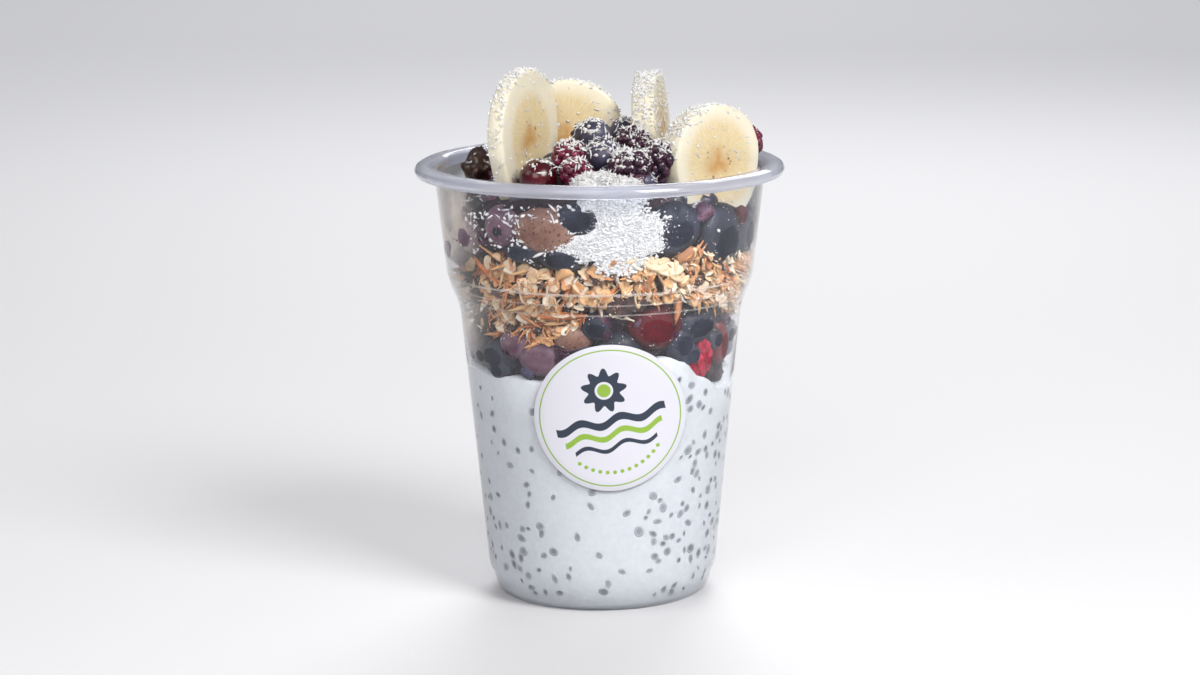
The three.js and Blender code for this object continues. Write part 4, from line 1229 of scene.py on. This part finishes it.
draw = np.random.default_rng(71)
landing = joined([*toppings, *mound_shapes, *(moved(banana_slice(r, t), m) for m, r, t in slices.values())])
landing_faces = [*landing[1].tolist(), *landing[2].tolist()]
surface = BVHTree.FromPolygons([Vector(p) for p in landing[0]], landing_faces)
loose = []
for _ in range(FALLING_TRIES):
    bearing, radius = draw.uniform(-180, 180), FULL_REACH * draw.uniform(0, 1) ** 0.5
    x, y = radius * sin(radians(bearing)), -radius * cos(radians(bearing))
    from_heap = np.hypot(x - HEAP_MIDDLE[0], y - HEAP_MIDDLE[1])
    near_heap = np.exp(-((from_heap / HEAP_SPREAD) ** 2))
    if draw.random() > 0.1 + 1.5 * near_heap:
        continue
    hit, normal, _, _ = surface.ray_cast(Vector((x, y, 150)), Vector((0, 0, -1)))
    if hit is None or normal.z < 0.15:
        continue
    upright = Vector((0, 0, 1)).rotation_difference(normal).to_matrix().to_4x4()
    on = Matrix.Translation(hit + normal * 0.08) @ upright
    loose.append(lying_bit(draw, on, 0.45, (0.6, 1.6), (0.3, 0.7)))
for _ in range(WALL_BITS):
    bearing = draw.normal(-24, 15) if draw.random() < 0.75 else draw.uniform(-180, 180)
    low, high = granola_top(bearing) + 1, mound_edge(bearing) - 0.5
    at = at_wall(bearing, draw.uniform(low, high), 0.2) @ Matrix.Rotation(pi / 2, 4, "X")
    loose.append(inside_wall(lying_bit(draw, at, 0.3, (0.5, 1.9), (0.15, 0.75)), draw.uniform(0.02, 0.09)))
for _ in range(WALL_SPECKS):
    bearing = draw.uniform(-52, 70)
    at = at_wall(bearing, draw.uniform(70, 107), 0.05)
    loose.append(inside_wall(coconut_bit(draw, at, 0.1, (0.15, 0.4), (0.09, 0.24)), 0.06))
new_piece("loose_coconut", joined(loose), [coconut], "coconut")
on_slices = []
for name, (matrix, radius, thick) in slices.items():
    on_edge, on_face = SLICE_COCONUT[name]
    for _ in range(on_edge):
        angle = draw.normal(pi / 2, 1.1)
        out = radius * slice_lobe(angle + pi / 2) - 0.05
        spot = Vector((cos(angle) * out, sin(angle) * out, draw.uniform(-0.46, 0.46) * thick))
        on_slices.append(coconut_bit(draw, matrix @ Matrix.Translation(spot), 0.6, (0.5, 1.15), (0.4, 0.8)))
    for _ in range(on_face):
        angle, reach_out = draw.uniform(0, 2 * pi), radius * draw.uniform(0.05, 0.98) ** 0.5
        spot = Vector((reach_out * cos(angle), reach_out * sin(angle), thick / 2))
        on_slices.append(lying_bit(draw, matrix @ Matrix.Translation(spot), 0.5, (0.5, 1.3), (0.3, 0.6)))
new_piece("coconut_on_slices", joined(on_slices), [coconut], "coconut")

# The floor and the studio are plain and pale, with soft light from the right and above; none of it is part
# of the object.
FLOOR_HALF = 4.0
floor_mesh = bpy.data.meshes.new("floor")
floor_corners = [(x * FLOOR_HALF, y * FLOOR_HALF, 0) for x, y in ((-1, -1), (1, -1), (1, 1), (-1, 1))]
floor_mesh.from_pydata(floor_corners, [], [(0, 1, 2, 3)])
floor = in_scene("floor", floor_mesh)
floor_paint, nodes, shader = new_material("pale_floor", {
    "Base Color": linear(232, 232, 235), "Roughness": 0.6,
})
bumped(nodes, shader, cloudy(nodes, 40.0, 4.0), 0.05, 0.0005)
floor_mesh.materials.append(floor_paint)


def soft_light(name, place, aim, side, power, colour):
    """A square soft light at a place, turned towards what it lights."""
    lamp = bpy.data.lights.new(name, "AREA")
    lamp.shape, lamp.size, lamp.energy, lamp.color = "SQUARE", side, power, colour
    held = in_scene(name, lamp)
    held.location = place
    held.rotation_euler = (Vector(aim) - Vector(place)).to_track_quat("-Z", "Y").to_euler()


soft_light("key", (0.5, -0.6, 0.7), (0, 0, 0.07), 0.4, 7.4, (1.0, 0.98, 0.95))
soft_light("fill", (-0.2, -0.8, 0.55), (0, 0, 0.07), 0.5, 2.6, (1.0, 0.97, 0.93))
soft_light("left", (-0.65, -0.25, 0.6), (0, 0, 0.1), 0.4, 0.9, (1.0, 0.97, 0.94))
soft_light("back", (0.15, 0.8, 0.7), (0, 0, 0.08), 0.5, 3.2, (1.0, 1.0, 1.0))
soft_light("floor_behind", (0, 1.7, 1.4), (0, 1.7, 0), 1.2, 15, (1.0, 1.0, 1.0))
world = bpy.data.worlds.new("studio")
bpy.context.scene.world = world
world.use_nodes = True
air = world.node_tree.nodes["Background"].inputs
air["Color"].default_value = (0.93, 0.95, 1.0, 1)
air["Strength"].default_value = 0.2
bpy.context.scene.view_settings.view_transform = "Standard"

# The camera stands in front of the cup, a little above it, looking down by 11 degrees.
CAMERA_PLACE = (-0.0002, -0.850, 0.2314)
CAMERA_DOWN = 0.192
CAMERA_ROLL = -0.008
SENSOR_WIDTH = 36
LENS_LENGTH = 100.3
camera = bpy.data.cameras.new("camera")
camera.sensor_width = SENSOR_WIDTH
camera.lens = LENS_LENGTH
camera.clip_end = 20
viewer = in_scene("camera", camera)
looking = Matrix.Rotation(pi / 2 - CAMERA_DOWN, 4, "X") @ Matrix.Rotation(CAMERA_ROLL, 4, "Z")
viewer.matrix_world = Matrix.Translation(CAMERA_PLACE) @ looking
bpy.context.scene.camera = viewer
